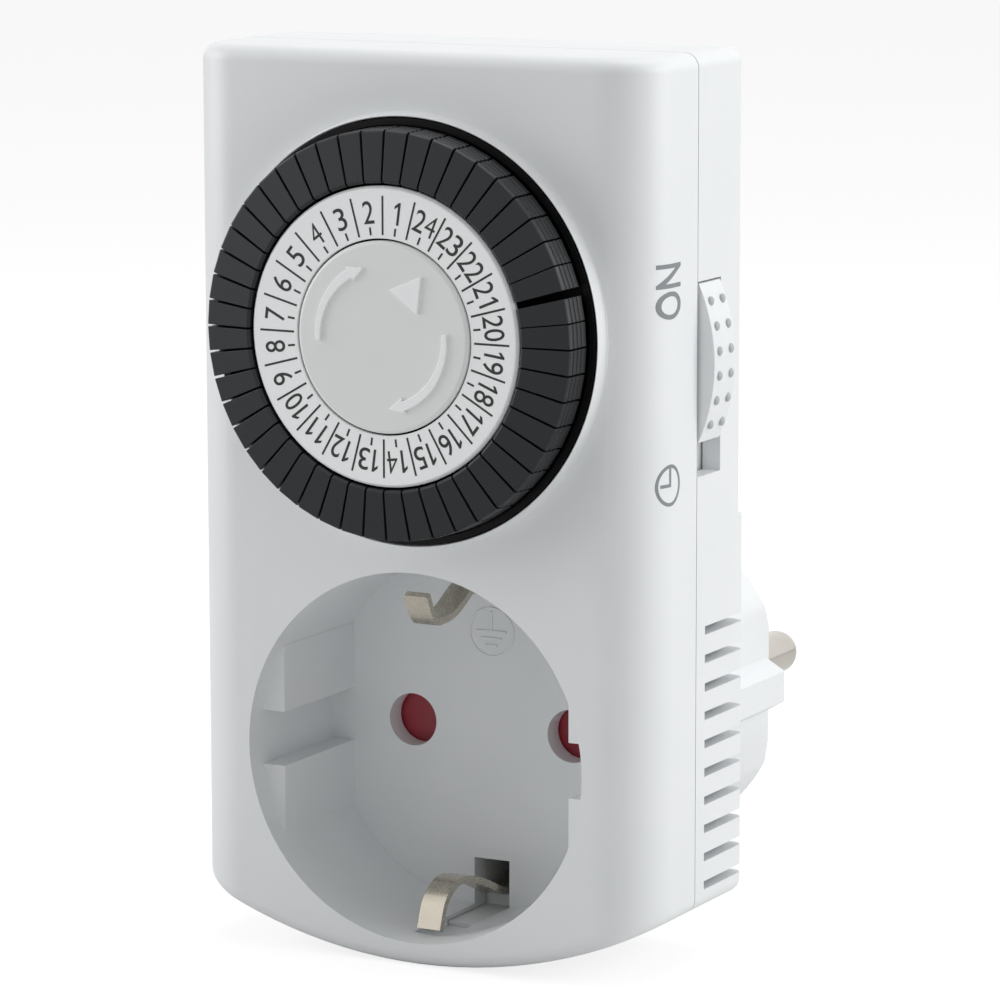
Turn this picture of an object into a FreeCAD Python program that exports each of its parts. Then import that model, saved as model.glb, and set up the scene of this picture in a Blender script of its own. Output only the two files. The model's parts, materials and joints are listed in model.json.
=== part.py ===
import FreeCAD, Part
import Sketcher
import math
import os
import re

# Plug-in mechanical timer switch, modelled in millimetres.
# X runs to the right seen from the front, Y back towards the wall socket, Z up.
# The origin is the centre of the plug's face, between its two pins.
# Depths are measured back from the front face, so depth = Y + front_reach.

SIZES = {
    # moulded case
    "case_width": 53.6,
    "case_top": 72.8,
    "case_drop": 22.0,
    "base_radius": 57.0,
    "wall": 2.0,
    "corner_radius": 6.0,
    "edge_radius": 1.6,
    "rim_radius": 1.2,
    "seam_depth": 11.4,
    "seam_gap": 0.15,
    "fit_gap": 0.1,
    "rear_depth": 22.4,
    "lower_step": 0.9,
    "step_height": 24.4,
    "front_reach": 52.4,
    # socket in the front face
    "well_radius": 19.5,
    "well_depth": 17.5,
    "well_wall": 1.8,
    "floor_thick": 2.5,
    "pin_pitch": 19.0,
    "pin_hole_radius": 2.85,
    "guide_flat": 16.7,
    "guide_low": 2.9,
    "guide_high": 10.0,
    "guide_lip": 2.6,
    "earth_slot_width": 4.2,
    "earth_slot_low": 14.3,
    "earth_slot_lip": 4.0,
    # plug on the back
    "plug_radius": 18.5,
    "plug_flat": 16.3,
    "plug_flat_height": 8.8,
    "plug_rib_root": 3.3,
    "plug_rib_crest": 1.7,
    "plug_bore": 15.0,
    "plug_face": 3.0,
    "plug_notch_width": 5.2,
    "plug_notch_floor": 16.4,
    "plug_notch_depth": 36.5,
    "pedestal_radius": 20.5,
    "pedestal_depth": 33.5,
    "pin_radius": 2.4,
    "pin_length": 19.0,
    "pin_collar": 3.0,
    "pin_flange": 3.6,
    "pin_tail": 4.0,
    # vents in the rear case
    "vent_pitch": 2.98,
    "vent_width": 0.9,
    "vent_low": -13.3,
    "vent_lip": 2.2,
    "vent_wrap": 3.2,
    # dial
    "dial_height": 44.48,
    "drum_radius": 21.75,
    "drum_rim": 0.65,
    "drum_gap": 0.3,
    "drum_front": -1.6,
    "drum_floor": 0.2,
    "drum_floor_thick": 1.2,
    "ring_radius": 15.3,
    "ring_front": -5.7,
    "ring_thick": 0.8,
    "cap_radius": 9.79,
    "cap_front": -5.95,
    "cap_gap": 0.2,
    "boss_recess": 1.2,
    "hub_radius": 5.0,
    "spindle_radius": 2.0,
    "shaft_gap": 0.06,
    # half-hour segments round the dial
    "segment_inner": 15.5,
    "segment_outer": 20.9,
    "segment_front": -5.9,
    "segment_back": -2.0,
    "segment_lean": 0.7,
    "segment_gap_angle": 0.7,
    "segment_chamfer": 0.25,
    "ridge_depth": 0.22,
    "tail_inner": 17.3,
    "tail_outer": 19.2,
    "tail_width": 1.3,
    "tail_end": 3.4,
    "segment_travel": 2.0,
    "tail_gap": 0.12,
    # gear train
    "gear_module": 0.38,
    "dial_teeth": 80,
    "transfer_teeth": 40,
    "transfer_pinion_teeth": 10,
    "motor_teeth": 12,
    "gear_depth": 5.9,
    "gear_thick": 1.2,
    "wheel_depth": 7.5,
    "wheel_thick": 1.0,
    "transfer_angle": 125.0,
    "motor_angle": -60.0,
    "mesh_gap": 0.12,
    "axle_radius": 0.75,
    # plate and motor
    "plate_depth": 9.2,
    "plate_thick": 1.2,
    "plate_edge": 15.0,
    "motor_radius": 15.5,
    "motor_back": 19.6,
    "end_plate_thick": 0.6,
    # mode slider in the right-hand wall
    "slot_low": 29.7,
    "slot_high": 49.7,
    "slot_depth": 5.6,
    "slider_low": 33.2,
    "slider_length": 16.3,
    "slider_gap": 0.2,
    "slider_travel": 3.5,
    "slider_crest": 1.8,
    "flange_low": 29.1,
    "flange_high": 53.6,
    "flange_thick": 1.2,
    # switch lever and contacts
    "pivot_height": 31.0,
    "pivot_depth": 7.0,
    "pivot_radius": 0.8,
    "lever_left": 16.4,
    "lever_right": 20.0,
    "lever_front": 6.2,
    "lever_thick": 1.6,
    "lever_top": 47.3,
    "nose_low": 43.0,
    "nose_high": 46.0,
    "nose_gap": 0.35,
    "peg_low": 37.0,
    "peg_high": 39.0,
    "peg_reach": 22.2,
    "cam_gap": 0.1,
    "lever_swing": 8.5,
    "blade_root": 60.0,
    "blade_low": 44.2,
    "blade_depth": 9.45,
    "blade_thick": 0.3,
    "button_height": 46.3,
    "button_radius": 1.4,
    "button_thick": 0.8,
    # shutter and contacts behind the socket floor
    "shutter_radius": 12.95,
    "shutter_thick": 1.5,
    "shutter_gap": 0.3,
    "shutter_window": 2.95,
    "shutter_swing": 38.0,
    "spigot_radius": 2.9,
    "carrier_radius": 14.9,
    "carrier_thick": 2.4,
    "strip_thick": 0.8,
    "earth_width": 3.5,
    "strip_depth": 25.7,
    "earth_strip_high": 17.2,
    "leaf_thick": 0.5,
    "leaf_width": 6.0,
    # fasteners and wiring
    "screw_radius": 1.2,
    "boss_radius": 2.4,
    "screw_head": 2.2,
    "screw_seat": 15.0,
    "screw_top_across": 21.4,
    "screw_top_height": 67.2,
    "screw_low_across": 22.3,
    "screw_low_height": 21.0,
    "plate_top_across": 15.6,
    "plate_top_height": 67.3,
    "plate_low_across": 15.8,
    "plate_low_height": 25.2,
    "wire_radius": 0.9,
    "lead_radius": 0.5,
    "duct_across": 5.0,
}

doc = FreeCAD.newDocument("plug_in_timer_switch")
sheet = doc.addObject("Spreadsheet::Sheet", "Sizes")
for row, (alias, amount) in enumerate(SIZES.items(), 1):
    sheet.set("A%d" % row, alias)
    sheet.set("B%d" % row, str(amount))
    sheet.setAlias("B%d" % row, alias)
doc.recompute()

WIRE_SIDES = 8
WORD = re.compile(r"[a-z][a-z_]*")
BACK = FreeCAD.Vector(0, 1, 0)
pieces = []


def size(alias):
    """A size from the sheet, as a number."""
    return float(sheet.get(alias))


def rule(text):
    """An expression in which each size's name is read from the sheet."""
    return WORD.sub(lambda m: "Sizes." + m.group(0) if m.group(0) in SIZES else m.group(0), str(text))


def bind(item, **settings):
    for name, text in settings.items():
        item.setExpression(name.replace("__", "."), rule(text))


def hidden(name):
    """A free internal name for a construction shape."""
    return name + "_form"


def piece(item, label):
    """Registers a finished sub-part and seats it behind the plug-face origin."""
    item.Label = label
    places = {path.lstrip("."): text for path, text in item.ExpressionEngine}
    depth = places.get("Placement.Base.y", "0")
    item.setExpression("Placement.Base.y", "%s - Sizes.front_reach" % depth)
    pieces.append(item)
    return item


def block(x_from, x_to, d_from, d_to, z_from, z_to):
    """A box between two X values, two depths and two heights."""
    box = doc.addObject("Part::Box", "Block")
    bind(box, Length="(%s) - (%s)" % (x_to, x_from), Width="(%s) - (%s)" % (d_to, d_from))
    bind(box, Height="(%s) - (%s)" % (z_to, z_from))
    bind(box, Placement__Base__x=x_from, Placement__Base__y=d_from, Placement__Base__z=z_from)
    return box


def drum(radius, d_from, d_to, x="0", z="0"):
    """A round bar along the depth."""
    bar = doc.addObject("Part::Cylinder", "Drum")
    bar.Placement.Rotation = FreeCAD.Rotation(FreeCAD.Vector(1, 0, 0), -90)
    bind(bar, Radius=radius, Height="(%s) - (%s)" % (d_to, d_from))
    bind(bar, Placement__Base__x=x, Placement__Base__y=d_from, Placement__Base__z=z)
    return bar


def rod(radius, x_from, x_to, depth, z):
    """A round bar along X."""
    bar = doc.addObject("Part::Cylinder", "Rod")
    bar.Placement.Rotation = FreeCAD.Rotation(FreeCAD.Vector(0, 1, 0), 90)
    bind(bar, Radius=radius, Height="(%s) - (%s)" % (x_to, x_from))
    bind(bar, Placement__Base__x=x_from, Placement__Base__y=depth, Placement__Base__z=z)
    return bar


def joined(*items):
    if len(items) == 1:
        return items[0]
    group = doc.addObject("Part::MultiFuse", "Joined")
    group.Shapes = list(items)
    group.Refine = True
    return group


def cut(base, *tools):
    result = doc.addObject("Part::Cut", "Cut")
    result.Base = base
    result.Tool = joined(*tools)
    result.Refine = True
    return result


def common(first, second):
    result = doc.addObject("Part::Common", "Common")
    result.Base = first
    result.Tool = second
    return result


def made(shape, name):
    """A shape worked out from the sheet's sizes by a formula."""
    item = doc.addObject("Part::Feature", hidden(name))
    item.Shape = shape
    return item


def new_body(name):
    return doc.addObject("PartDesign::Body", hidden(name))


def plane(body, role):
    return next(item for item in body.Origin.OriginFeatures if item.Role == role)


def new_sketch(body, role, lift="0"):
    """A sketch on one of its own body's origin planes, lifted along the plane's normal."""
    drawing = body.newObject("Sketcher::SketchObject", "Outline")
    drawing.AttachmentSupport = [(plane(body, role), "")]
    drawing.MapMode = "FlatFace"
    bind(drawing, AttachmentOffset__Base__z=lift)
    return drawing


def draw_polygon(drawing, corners):
    """A closed outline whose corners are bound to the sheet."""
    count = len(corners)
    spots = []
    for k in range(count):
        angle = 2 * math.pi * k / count
        spots.append(FreeCAD.Vector(10 * math.cos(angle), 10 * math.sin(angle), 0))
    for k in range(count):
        drawing.addGeometry(Part.LineSegment(spots[k], spots[(k + 1) % count]), False)
    for k in range(count):
        drawing.addConstraint(Sketcher.Constraint("Coincident", k, 2, (k + 1) % count, 1))
    for k, (across, up) in enumerate(corners):
        for way, text in (("DistanceX", across), ("DistanceY", up)):
            start = spots[k].x if way == "DistanceX" else spots[k].y
            index = drawing.addConstraint(Sketcher.Constraint(way, -1, 1, k, 1, start))
            drawing.setExpression("Constraints[%d]" % index, rule(text))


def prism(name, corners, d_from, d_to):
    """An outline in X and Z, padded from one depth back to another."""
    body = new_body(name)
    drawing = new_sketch(body, "XZ_Plane", "-(%s)" % d_from)
    draw_polygon(drawing, corners)
    pad = body.newObject("PartDesign::Pad", "Pad")
    pad.Profile = drawing
    pad.Reversed = True
    bind(pad, Length="(%s) - (%s)" % (d_to, d_from))
    return body


def side_prism(name, corners, x_from, x_to):
    """An outline in depth and Z, padded along X."""
    body = new_body(name)
    drawing = new_sketch(body, "YZ_Plane", x_from)
    draw_polygon(drawing, corners)
    pad = body.newObject("PartDesign::Pad", "Pad")
    pad.Profile = drawing
    bind(pad, Length="(%s) - (%s)" % (x_to, x_from))
    return body


def turned(name, corners, x="0", z="0"):
    """An outline in radius and depth, turned about an axis along the depth."""
    body = new_body(name)
    drawing = new_sketch(body, "XY_Plane")
    draw_polygon(drawing, corners)
    spin = body.newObject("PartDesign::Revolution", "Revolution")
    spin.Profile = drawing
    spin.ReferenceAxis = (drawing, ["V_Axis"])
    spin.Angle = 360
    bind(body, Placement__Base__x=x, Placement__Base__z=z)
    return body


def edges_where(item, test):
    return ["Edge%d" % (k + 1) for k, edge in enumerate(item.Shape.Edges) if test(edge)]


def rounded(body, test, radius):
    """Rounds those edges of a body's last feature that pass a test."""
    doc.recompute()
    last = body.Tip
    fillet = body.newObject("PartDesign::Fillet", "Fillet")
    fillet.Base = (last, edges_where(last, test))
    bind(fillet, Radius=radius)
    return body


def case_outline(drawing, inset):
    """Straight sides and top over an arched base, all set in by the same amount."""
    half, top, low = 20.0, 70.0, -15.0
    drawing.addGeometry(Part.LineSegment(FreeCAD.Vector(half, top, 0), FreeCAD.Vector(-half, top, 0)), False)
    drawing.addGeometry(Part.LineSegment(FreeCAD.Vector(-half, top, 0), FreeCAD.Vector(-half, low, 0)), False)
    arch = Part.Arc(FreeCAD.Vector(-half, low, 0), FreeCAD.Vector(0, low - 4, 0), FreeCAD.Vector(half, low, 0))
    drawing.addGeometry(arch, False)
    drawing.addGeometry(Part.LineSegment(FreeCAD.Vector(half, low, 0), FreeCAD.Vector(half, top, 0)), False)
    for first, end, second, start in ((0, 2, 1, 1), (1, 2, 2, 1), (2, 2, 3, 1), (3, 2, 0, 1)):
        drawing.addConstraint(Sketcher.Constraint("Coincident", first, end, second, start))
    drawing.addConstraint(Sketcher.Constraint("Vertical", 1))
    drawing.addConstraint(Sketcher.Constraint("Vertical", 3))
    drawing.addConstraint(Sketcher.Constraint("Symmetric", 0, 1, 0, 2, -2))
    drawing.addConstraint(Sketcher.Constraint("PointOnObject", 2, 3, -2))
    bound = (
        (Sketcher.Constraint("Distance", 0, 2 * half), "case_width - 2 * (%s)" % inset),
        (Sketcher.Constraint("DistanceY", -1, 1, 0, 1, top), "case_top - (%s)" % inset),
        (Sketcher.Constraint("Radius", 2, 50.0), "base_radius - (%s)" % inset),
        (Sketcher.Constraint("DistanceY", -1, 1, 2, 3, 35.0), "base_radius - case_drop"),
    )
    for constraint, text in bound:
        index = drawing.addConstraint(constraint)
        drawing.setExpression("Constraints[%d]" % index, rule(text))


def case_form(name, inset, front, back, soft_edges):
    """The case as a solid block set in all round, with its corners, and perhaps its edges, rounded."""
    body = new_body(name)
    drawing = new_sketch(body, "XZ_Plane", "-(%s)" % front)
    case_outline(drawing, inset)
    pad = body.newObject("PartDesign::Pad", "Pad")
    pad.Profile = drawing
    pad.Reversed = True
    bind(pad, Length="(%s) - (%s)" % (back, front))
    doc.recompute()
    front_y = pad.Shape.BoundBox.YMin
    upright = edges_where(
        pad,
        lambda e: abs(e.BoundBox.YLength) < 1e-6 and abs(e.BoundBox.XLength) < 1e-6
        and abs(e.BoundBox.YMin - front_y) < 1e-6,
    )
    corners = body.newObject("PartDesign::Fillet", "Corners")
    corners.Base = (pad, upright)
    bind(corners, Radius="corner_radius - (%s)" % inset)
    doc.recompute()
    if not soft_edges:
        return body
    flank = [e for e in corners.Shape.Edges if abs(e.BoundBox.YLength) > 1 and abs(e.BoundBox.XLength) < 1e-6
             and abs(e.BoundBox.ZLength) < 1e-6]
    names = edges_where(corners, lambda e: any(e.isSame(f) for f in flank))
    soft = body.newObject("PartDesign::Fillet", "Edges")
    soft.Base = (corners, names)
    bind(soft, Radius="edge_radius - (%s)" % inset)
    doc.recompute()
    back_y = soft.Shape.BoundBox.YMax
    rim = edges_where(
        soft, lambda e: abs(e.BoundBox.YMin - back_y) < 1e-6 and abs(e.BoundBox.YMax - back_y) < 1e-6
    )
    last = body.newObject("PartDesign::Fillet", "Rim")
    last.Base = (soft, rim)
    bind(last, Radius="rim_radius")
    doc.recompute()
    return body


# Moulded case: one hollow form, parted at the seam.
outer_upper = case_form("case_outer", "0", "0", "rear_depth", True)
outer_lower = case_form("case_lower", "0", "0", "rear_depth + lower_step", True)
inner = case_form("case_inner", "wall", "wall", "rear_depth - wall", False)
clear = case_form("case_clear", "wall + fit_gap", "wall", "rear_depth - wall - fit_gap", False)
middle = case_form("case_middle", "wall / 2", "wall / 2", "rear_depth - wall / 2", False)
below_step = block("-case_width", "case_width", "-1", "front_reach", "-case_top", "step_height")
shell = cut(joined(outer_upper, common(outer_lower, below_step)), inner)
front_half = block("-case_width", "case_width", "-1", "seam_depth", "-case_top", "2 * case_top")
rear_half = block("-case_width", "case_width", "seam_depth + seam_gap", "front_reach", "-case_top", "2 * case_top")

SCREW_SPOTS = [
    (side + across, height)
    for across, height in (("screw_top_across", "screw_top_height"), ("screw_low_across", "screw_low_height"))
    for side in ("", "-")
]
PLATE_SPOTS = [
    (side + across, height)
    for across, height in (("plate_top_across", "plate_top_height"), ("plate_low_across", "plate_low_height"))
    for side in ("", "-")
]


def front_case():
    """Front shell with the socket well, its plug guides and the round opening for the dial."""
    well = common(
        drum("well_radius + well_wall", "wall / 2", "well_depth + floor_thick"),
        joined(block("-case_width", "case_width", "0", "seam_depth", "-case_drop + wall / 2", "case_top"), clear),
    )
    blocks = []
    for side in (("guide_flat", "well_radius + 0.9"), ("-well_radius - 0.9", "-guide_flat")):
        for rise in (("guide_low", "guide_high"), ("-guide_high", "-guide_low")):
            blocks.append(block(*side, "guide_lip", "well_depth + 0.5", *rise))
    guides = common(joined(*blocks), drum("well_radius + well_wall / 2", "guide_lip", "well_depth + 0.5"))
    bosses = [drum("boss_radius", "wall / 2", "seam_depth", x, z) for x, z in SCREW_SPOTS]
    posts = [drum("boss_radius - 0.2", "wall / 2", "plate_depth", x, z) for x, z in PLATE_SPOTS]
    hollow = cut(
        joined(common(shell, front_half), well),
        drum("well_radius", "-1", "well_depth"),
        drum("drum_radius + drum_gap", "-1", "wall + 1", "0", "dial_height"),
    )
    cuts = [drum("pin_hole_radius", "well_depth - 1", "well_depth + floor_thick + 1", side + "pin_pitch / 2")
            for side in ("", "-")]
    for low, high in (("earth_slot_low", "well_radius + 0.9"), ("-well_radius - 0.9", "-earth_slot_low")):
        cuts.append(block("-earth_slot_width / 2", "earth_slot_width / 2", "earth_slot_lip",
                          "well_depth + floor_thick + 1", low, high))
    cuts += [drum("screw_radius", "screw_seat - 11", "seam_depth + 1", x, z) for x, z in SCREW_SPOTS]
    cuts += [drum("screw_radius", "plate_depth - 5", "plate_depth + 1", x, z) for x, z in PLATE_SPOTS]
    return cut(joined(hollow, guides, common(joined(*bosses, *posts), middle)), *cuts)


def vent_slots():
    """Ten slots in each flank that run round the rear corner."""
    slots = []
    for side in ("", "-"):
        for k in range(10):
            low = "vent_low + %d * vent_pitch - vent_width / 2" % k
            high = "vent_low + %d * vent_pitch + vent_width / 2" % k
            edge, inside, turn = "case_width / 2 + 1", "case_width / 2 - wall - 0.2", "case_width / 2 - vent_wrap"
            for near, start in ((inside, "seam_depth + vent_lip"), (turn, "rear_depth - wall - 0.2")):
                x_from, x_to = (near, edge) if side == "" else ("-(%s)" % edge, "-(%s)" % near)
                slots.append(block(x_from, x_to, start, "rear_depth + lower_step + 1", low, high))
    return slots


def rear_case():
    """Rear shell with its slots and the plug body that stands out of it."""
    stem = turned("plug_stem", [
        ("0", "rear_depth - wall / 2"), ("pedestal_radius", "rear_depth - wall / 2"),
        ("pedestal_radius", "rear_depth + lower_step"), ("plug_radius", "pedestal_depth"),
        ("plug_radius", "front_reach - 1"), ("plug_radius - 1", "front_reach"), ("0", "front_reach"),
    ])
    flats, ribs, notches, holes = [], [], [], []
    for side in ("", "-"):
        low, high = ("plug_flat", "plug_radius + 1") if side == "" else ("-plug_radius - 1", "-plug_flat")
        flats.append(block(low, high, "plug_notch_depth", "front_reach + 1",
                           "-plug_flat_height", "plug_flat_height"))
        root, crest = side + "(plug_flat - 0.5)", side + "plug_radius"
        ribs.append(prism("plug_rib", [
            (root, "-plug_rib_root"), (crest, "-plug_rib_crest"), (crest, "plug_rib_crest"), (root, "plug_rib_root"),
        ], "plug_notch_depth - 0.5", "front_reach - 0.6"))
        low, high = ("plug_notch_floor", "plug_radius + 1") if side == "" else ("-plug_radius - 1", "-plug_notch_floor")
        notches.append(block("-plug_notch_width / 2", "plug_notch_width / 2", "plug_notch_depth",
                             "front_reach + 1", low, high))
        low, high = ("plug_bore - 1.5", "plug_notch_floor + 0.5")
        if side == "-":
            low, high = "-(%s)" % high, "-(%s)" % low
        holes.append(block("-earth_width / 2 - 0.3", "earth_width / 2 + 0.3", "plug_notch_depth",
                           "plug_notch_depth + 2", low, high))
        holes.append(drum("pin_collar", "front_reach - plug_face - 1", "front_reach + 1", side + "pin_pitch / 2"))
    plug = joined(cut(stem, *flats, *notches), *ribs)
    bosses = [drum("boss_radius + 0.4", "seam_depth + seam_gap", "rear_depth - wall / 2", x, z)
              for x, z in SCREW_SPOTS]
    cuts = [drum("plug_bore", "rear_depth - wall - 1", "front_reach - plug_face")]
    cuts.append(block("-earth_width / 2 - 0.5", "earth_width / 2 + 0.5", "rear_depth - wall - 1",
                      "strip_depth + 1.2", "-earth_strip_high - 0.9", "earth_strip_high + 0.9"))
    for x_from, x_to in (("duct_across - 1.6", "duct_across + 1.6"), ("-duct_across - 4", "-duct_across + 1.6")):
        cuts.append(block(x_from, x_to, "rear_depth - wall - 1", "rear_depth + lower_step - 0.9",
                          "plug_bore - 2", "step_height - 0.4"))
        cuts.append(block(x_from, x_to, "rear_depth - wall - 1", "rear_depth + 7.6", "plug_bore - 5", "plug_bore + 3"))
    cuts += [drum("screw_radius + fit_gap", "seam_depth", "rear_depth + 1", x, z) for x, z in SCREW_SPOTS]
    cuts += [drum("screw_head + fit_gap", "screw_seat", "rear_depth + 1.5", x, z) for x, z in SCREW_SPOTS]
    cuts.append(block("case_width / 2 - wall - 1", "case_width / 2 + 1", "seam_depth", "seam_depth + slot_depth",
                      "slot_low", "slot_high"))
    return cut(joined(common(shell, rear_half), plug, *bosses), *holes, *cuts, *vent_slots())


def rounded_path(corners, radius):
    """A path of straight runs joined by arcs of one radius, or less where a run is short."""
    points = [FreeCAD.Vector(*corner) for corner in corners]
    edges, start = [], points[0]
    for before, here, after in zip(points, points[1:], points[2:]):
        back_way = (before - here).normalize()
        on_way = (after - here).normalize()
        half_turn = (math.pi - back_way.getAngle(on_way)) / 2
        if half_turn < 1e-3:
            continue
        reach = min(radius * math.tan(half_turn), 0.45 * (before - here).Length, 0.45 * (after - here).Length)
        bend = reach / math.tan(half_turn)
        inward = (back_way + on_way).normalize()
        first, last = here + back_way * reach, here + on_way * reach
        middle = here + inward * (bend / math.cos(half_turn) - bend)
        edges.append(Part.LineSegment(start, first).toShape())
        edges.append(Part.Arc(first, middle, last).toShape())
        start = last
    edges.append(Part.LineSegment(start, points[-1]).toShape())
    return Part.Wire(edges)


def swept(section, path):
    """A flat section carried along a path's straight runs and arcs, as one solid."""
    lengths = []
    for edge in path.Edges:
        start = edge.valueAt(edge.FirstParameter)
        if isinstance(edge.Curve, Part.Circle):
            turn = math.degrees(edge.LastParameter - edge.FirstParameter)
            length = section.revolve(edge.Curve.Center, edge.Curve.Axis, turn)
            section = section.copy()
            section.rotate(edge.Curve.Center, edge.Curve.Axis, turn)
        else:
            run = edge.valueAt(edge.LastParameter) - start
            length = section.extrude(run)
            section = section.copy()
            section.translate(run)
        lengths.append(length)
    return lengths[0].multiFuse(lengths[1:]).removeSplitter()


def bent_strip(corners, thick, width, across, radius=1.5):
    """A strip of sheet metal bent along a path, as wide as given along the across direction."""
    start, second = FreeCAD.Vector(*corners[0]), FreeCAD.Vector(*corners[1])
    half_wide = FreeCAD.Vector(*across) * (width / 2)
    half_thick = (second - start).cross(half_wide).normalize() * (thick / 2)
    spots = [start + half_wide + half_thick, start - half_wide + half_thick,
             start - half_wide - half_thick, start + half_wide - half_thick]
    return swept(Part.Face(Part.makePolygon(spots + spots[:1])), rounded_path(corners, radius))


def wire(corners, radius, bend):
    """A round wire along straight runs joined by arcs."""
    start = FreeCAD.Vector(*corners[0])
    run = (FreeCAD.Vector(*corners[1]) - start).normalize()
    side = run.cross(FreeCAD.Vector(1, 0, 0) if abs(run.x) < 0.9 else FreeCAD.Vector(0, 0, 1)).normalize()
    spots = []
    for k in range(WIRE_SIDES):
        angle = 2 * math.pi * k / WIRE_SIDES
        spots.append(start + side * (radius * math.cos(angle)) + run.cross(side) * (radius * math.sin(angle)))
    return swept(Part.Face(Part.makePolygon(spots + spots[:1])), rounded_path(corners, bend))


def gear_outline(teeth, phase, middle, depth):
    """A spur gear's outline with straight-flanked teeth, thinned for backlash."""
    module, gap = size("gear_module"), size("mesh_gap")
    pitch_radius = module * teeth / 2
    tip, root = pitch_radius + 0.8 * module, pitch_radius - 1.15 * module
    thick = math.pi * module / 2 - gap
    half_tip, half_root = 0.28 * thick / tip, 0.68 * thick / root
    points = []
    for k in range(teeth):
        angle = math.radians(phase) + 2 * math.pi * k / teeth
        for radius, turn in ((root, -half_root), (tip, -half_tip), (tip, half_tip), (root, half_root)):
            points.append(FreeCAD.Vector(middle[0] + radius * math.cos(angle + turn), depth,
                                         middle[1] + radius * math.sin(angle + turn)))
    return Part.Face(Part.makePolygon(points + points[:1]))


def gear(teeth, phase, middle, depth, thick):
    return gear_outline(teeth, phase, middle, depth).extrude(BACK * thick)


def bar(radius, middle, d_from, d_to):
    """A round bar along the depth, as a plain shape."""
    return Part.makeCylinder(radius, d_to - d_from, FreeCAD.Vector(middle[0], d_from, middle[1]), BACK)


def meshing_phase(teeth, phase, other_teeth, direction):
    """The phase, in degrees, of a gear lying in a direction from one that it meshes with."""
    past_tooth = (direction - phase) % (360 / teeth)
    return direction + 180 + past_tooth * teeth / other_teeth + 180 / other_teeth


def place_from(middle, distance, angle):
    return (middle[0] + distance * math.cos(math.radians(angle)),
            middle[1] + distance * math.sin(math.radians(angle)))


# Places in the gear train, as (X, Z).
module = size("gear_module")
dial_spot = (0.0, size("dial_height"))
transfer_reach = module * (size("dial_teeth") + size("transfer_pinion_teeth")) / 2
transfer_spot = place_from(dial_spot, transfer_reach, size("transfer_angle"))
motor_reach = module * (size("transfer_teeth") + size("motor_teeth")) / 2
motor_spot = place_from(transfer_spot, motor_reach, size("motor_angle"))
plate_back = size("plate_depth") + size("plate_thick")


SEGMENTS = 48
HOURS = 24


def dial_carrier():
    """The dial's drum: a recess for the cap, a rim round the segments and 48 guide slots."""
    bore = "spindle_radius + shaft_gap"
    step = "ring_front + ring_thick"
    recess = "ring_front + ring_thick + boss_recess"
    body = turned("dial_carrier", [
        (bore, recess), ("cap_radius + cap_gap", recess), ("cap_radius + cap_gap", step), ("ring_radius", step),
        ("ring_radius", "drum_floor"), ("drum_radius - drum_rim", "drum_floor"),
        ("drum_radius - drum_rim", "drum_front"), ("drum_radius", "drum_front"),
        ("drum_radius", "drum_floor + drum_floor_thick"), ("hub_radius", "drum_floor + drum_floor_thick"),
        ("hub_radius", "gear_depth + gear_thick"), (bore, "gear_depth + gear_thick"),
    ], "0", "dial_height")
    doc.recompute()
    drawing = new_sketch(body, "XZ_Plane")
    drawing.AttachmentOffset = FreeCAD.Placement(
        FreeCAD.Vector(), FreeCAD.Rotation(FreeCAD.Vector(0, 0, 1), 180 / SEGMENTS))
    bind(drawing, AttachmentOffset__Base__z="-drum_floor + 0.5")
    inner_edge, outer_edge = "tail_inner - tail_gap", "tail_outer + tail_gap"
    half = "(tail_width / 2 + tail_gap)"
    draw_polygon(drawing, [(outer_edge, half), (inner_edge, half), (inner_edge, "-" + half), (outer_edge, "-" + half)])
    slot = body.newObject("PartDesign::Pocket", "Slot")
    slot.Profile = drawing
    bind(slot, Length="drum_floor_thick + 1")
    slots = body.newObject("PartDesign::PolarPattern", "Slots")
    slots.Originals = [slot]
    slots.Axis = (drawing, ["N_Axis"])
    slots.Angle = 360
    slots.Occurrences = SEGMENTS
    body.Tip = slots
    return body


def segment_shape():
    """One half-hour segment: a ridged block with a tail that reaches the switch lever."""
    inner_r, outer_r = size("segment_inner"), size("segment_outer")
    front, back, lean = size("segment_front"), size("segment_back"), size("segment_lean")
    ridge, soft = size("ridge_depth"), size("segment_chamfer")
    ridges = 4
    run = (back - 0.5 - front - soft) / ridges
    profile = [(inner_r, front + soft), (inner_r + soft, front), (outer_r - lean - soft, front)]
    for k in range(ridges):
        start = front + soft + run * k
        edge = outer_r - lean * (1 - k / ridges)
        profile += [(edge, start), (edge, start + 0.55 * run), (edge - ridge, start + 0.7 * run)]
    profile += [(outer_r, back - 0.5), (outer_r, back), (inner_r, back)]
    half_turn = math.radians(360 / SEGMENTS - size("segment_gap_angle")) / 2
    flanks = []
    for turn in (-half_turn, half_turn):
        flanks.append([FreeCAD.Vector(r * math.cos(turn), d, r * math.sin(turn)) for r, d in profile])
    faces = [Part.Face(Part.makePolygon(flank + flank[:1])) for flank in flanks]
    first, second = flanks
    for k in range(len(profile)):
        corners = [first[k - 1], first[k], second[k], second[k - 1]]
        faces.append(Part.Face(Part.makePolygon(corners + corners[:1])))
    head = Part.Solid(Part.Shell(faces))
    if head.Volume < 0:
        head.reverse()
    width = size("tail_width")
    tail = Part.makeBox(size("tail_outer") - size("tail_inner"), size("tail_end") - back + 0.5, width,
                        FreeCAD.Vector(size("tail_inner"), back - 0.5, -width / 2))
    return head.fuse(tail).removeSplitter()


SEGMENT = segment_shape()


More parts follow.
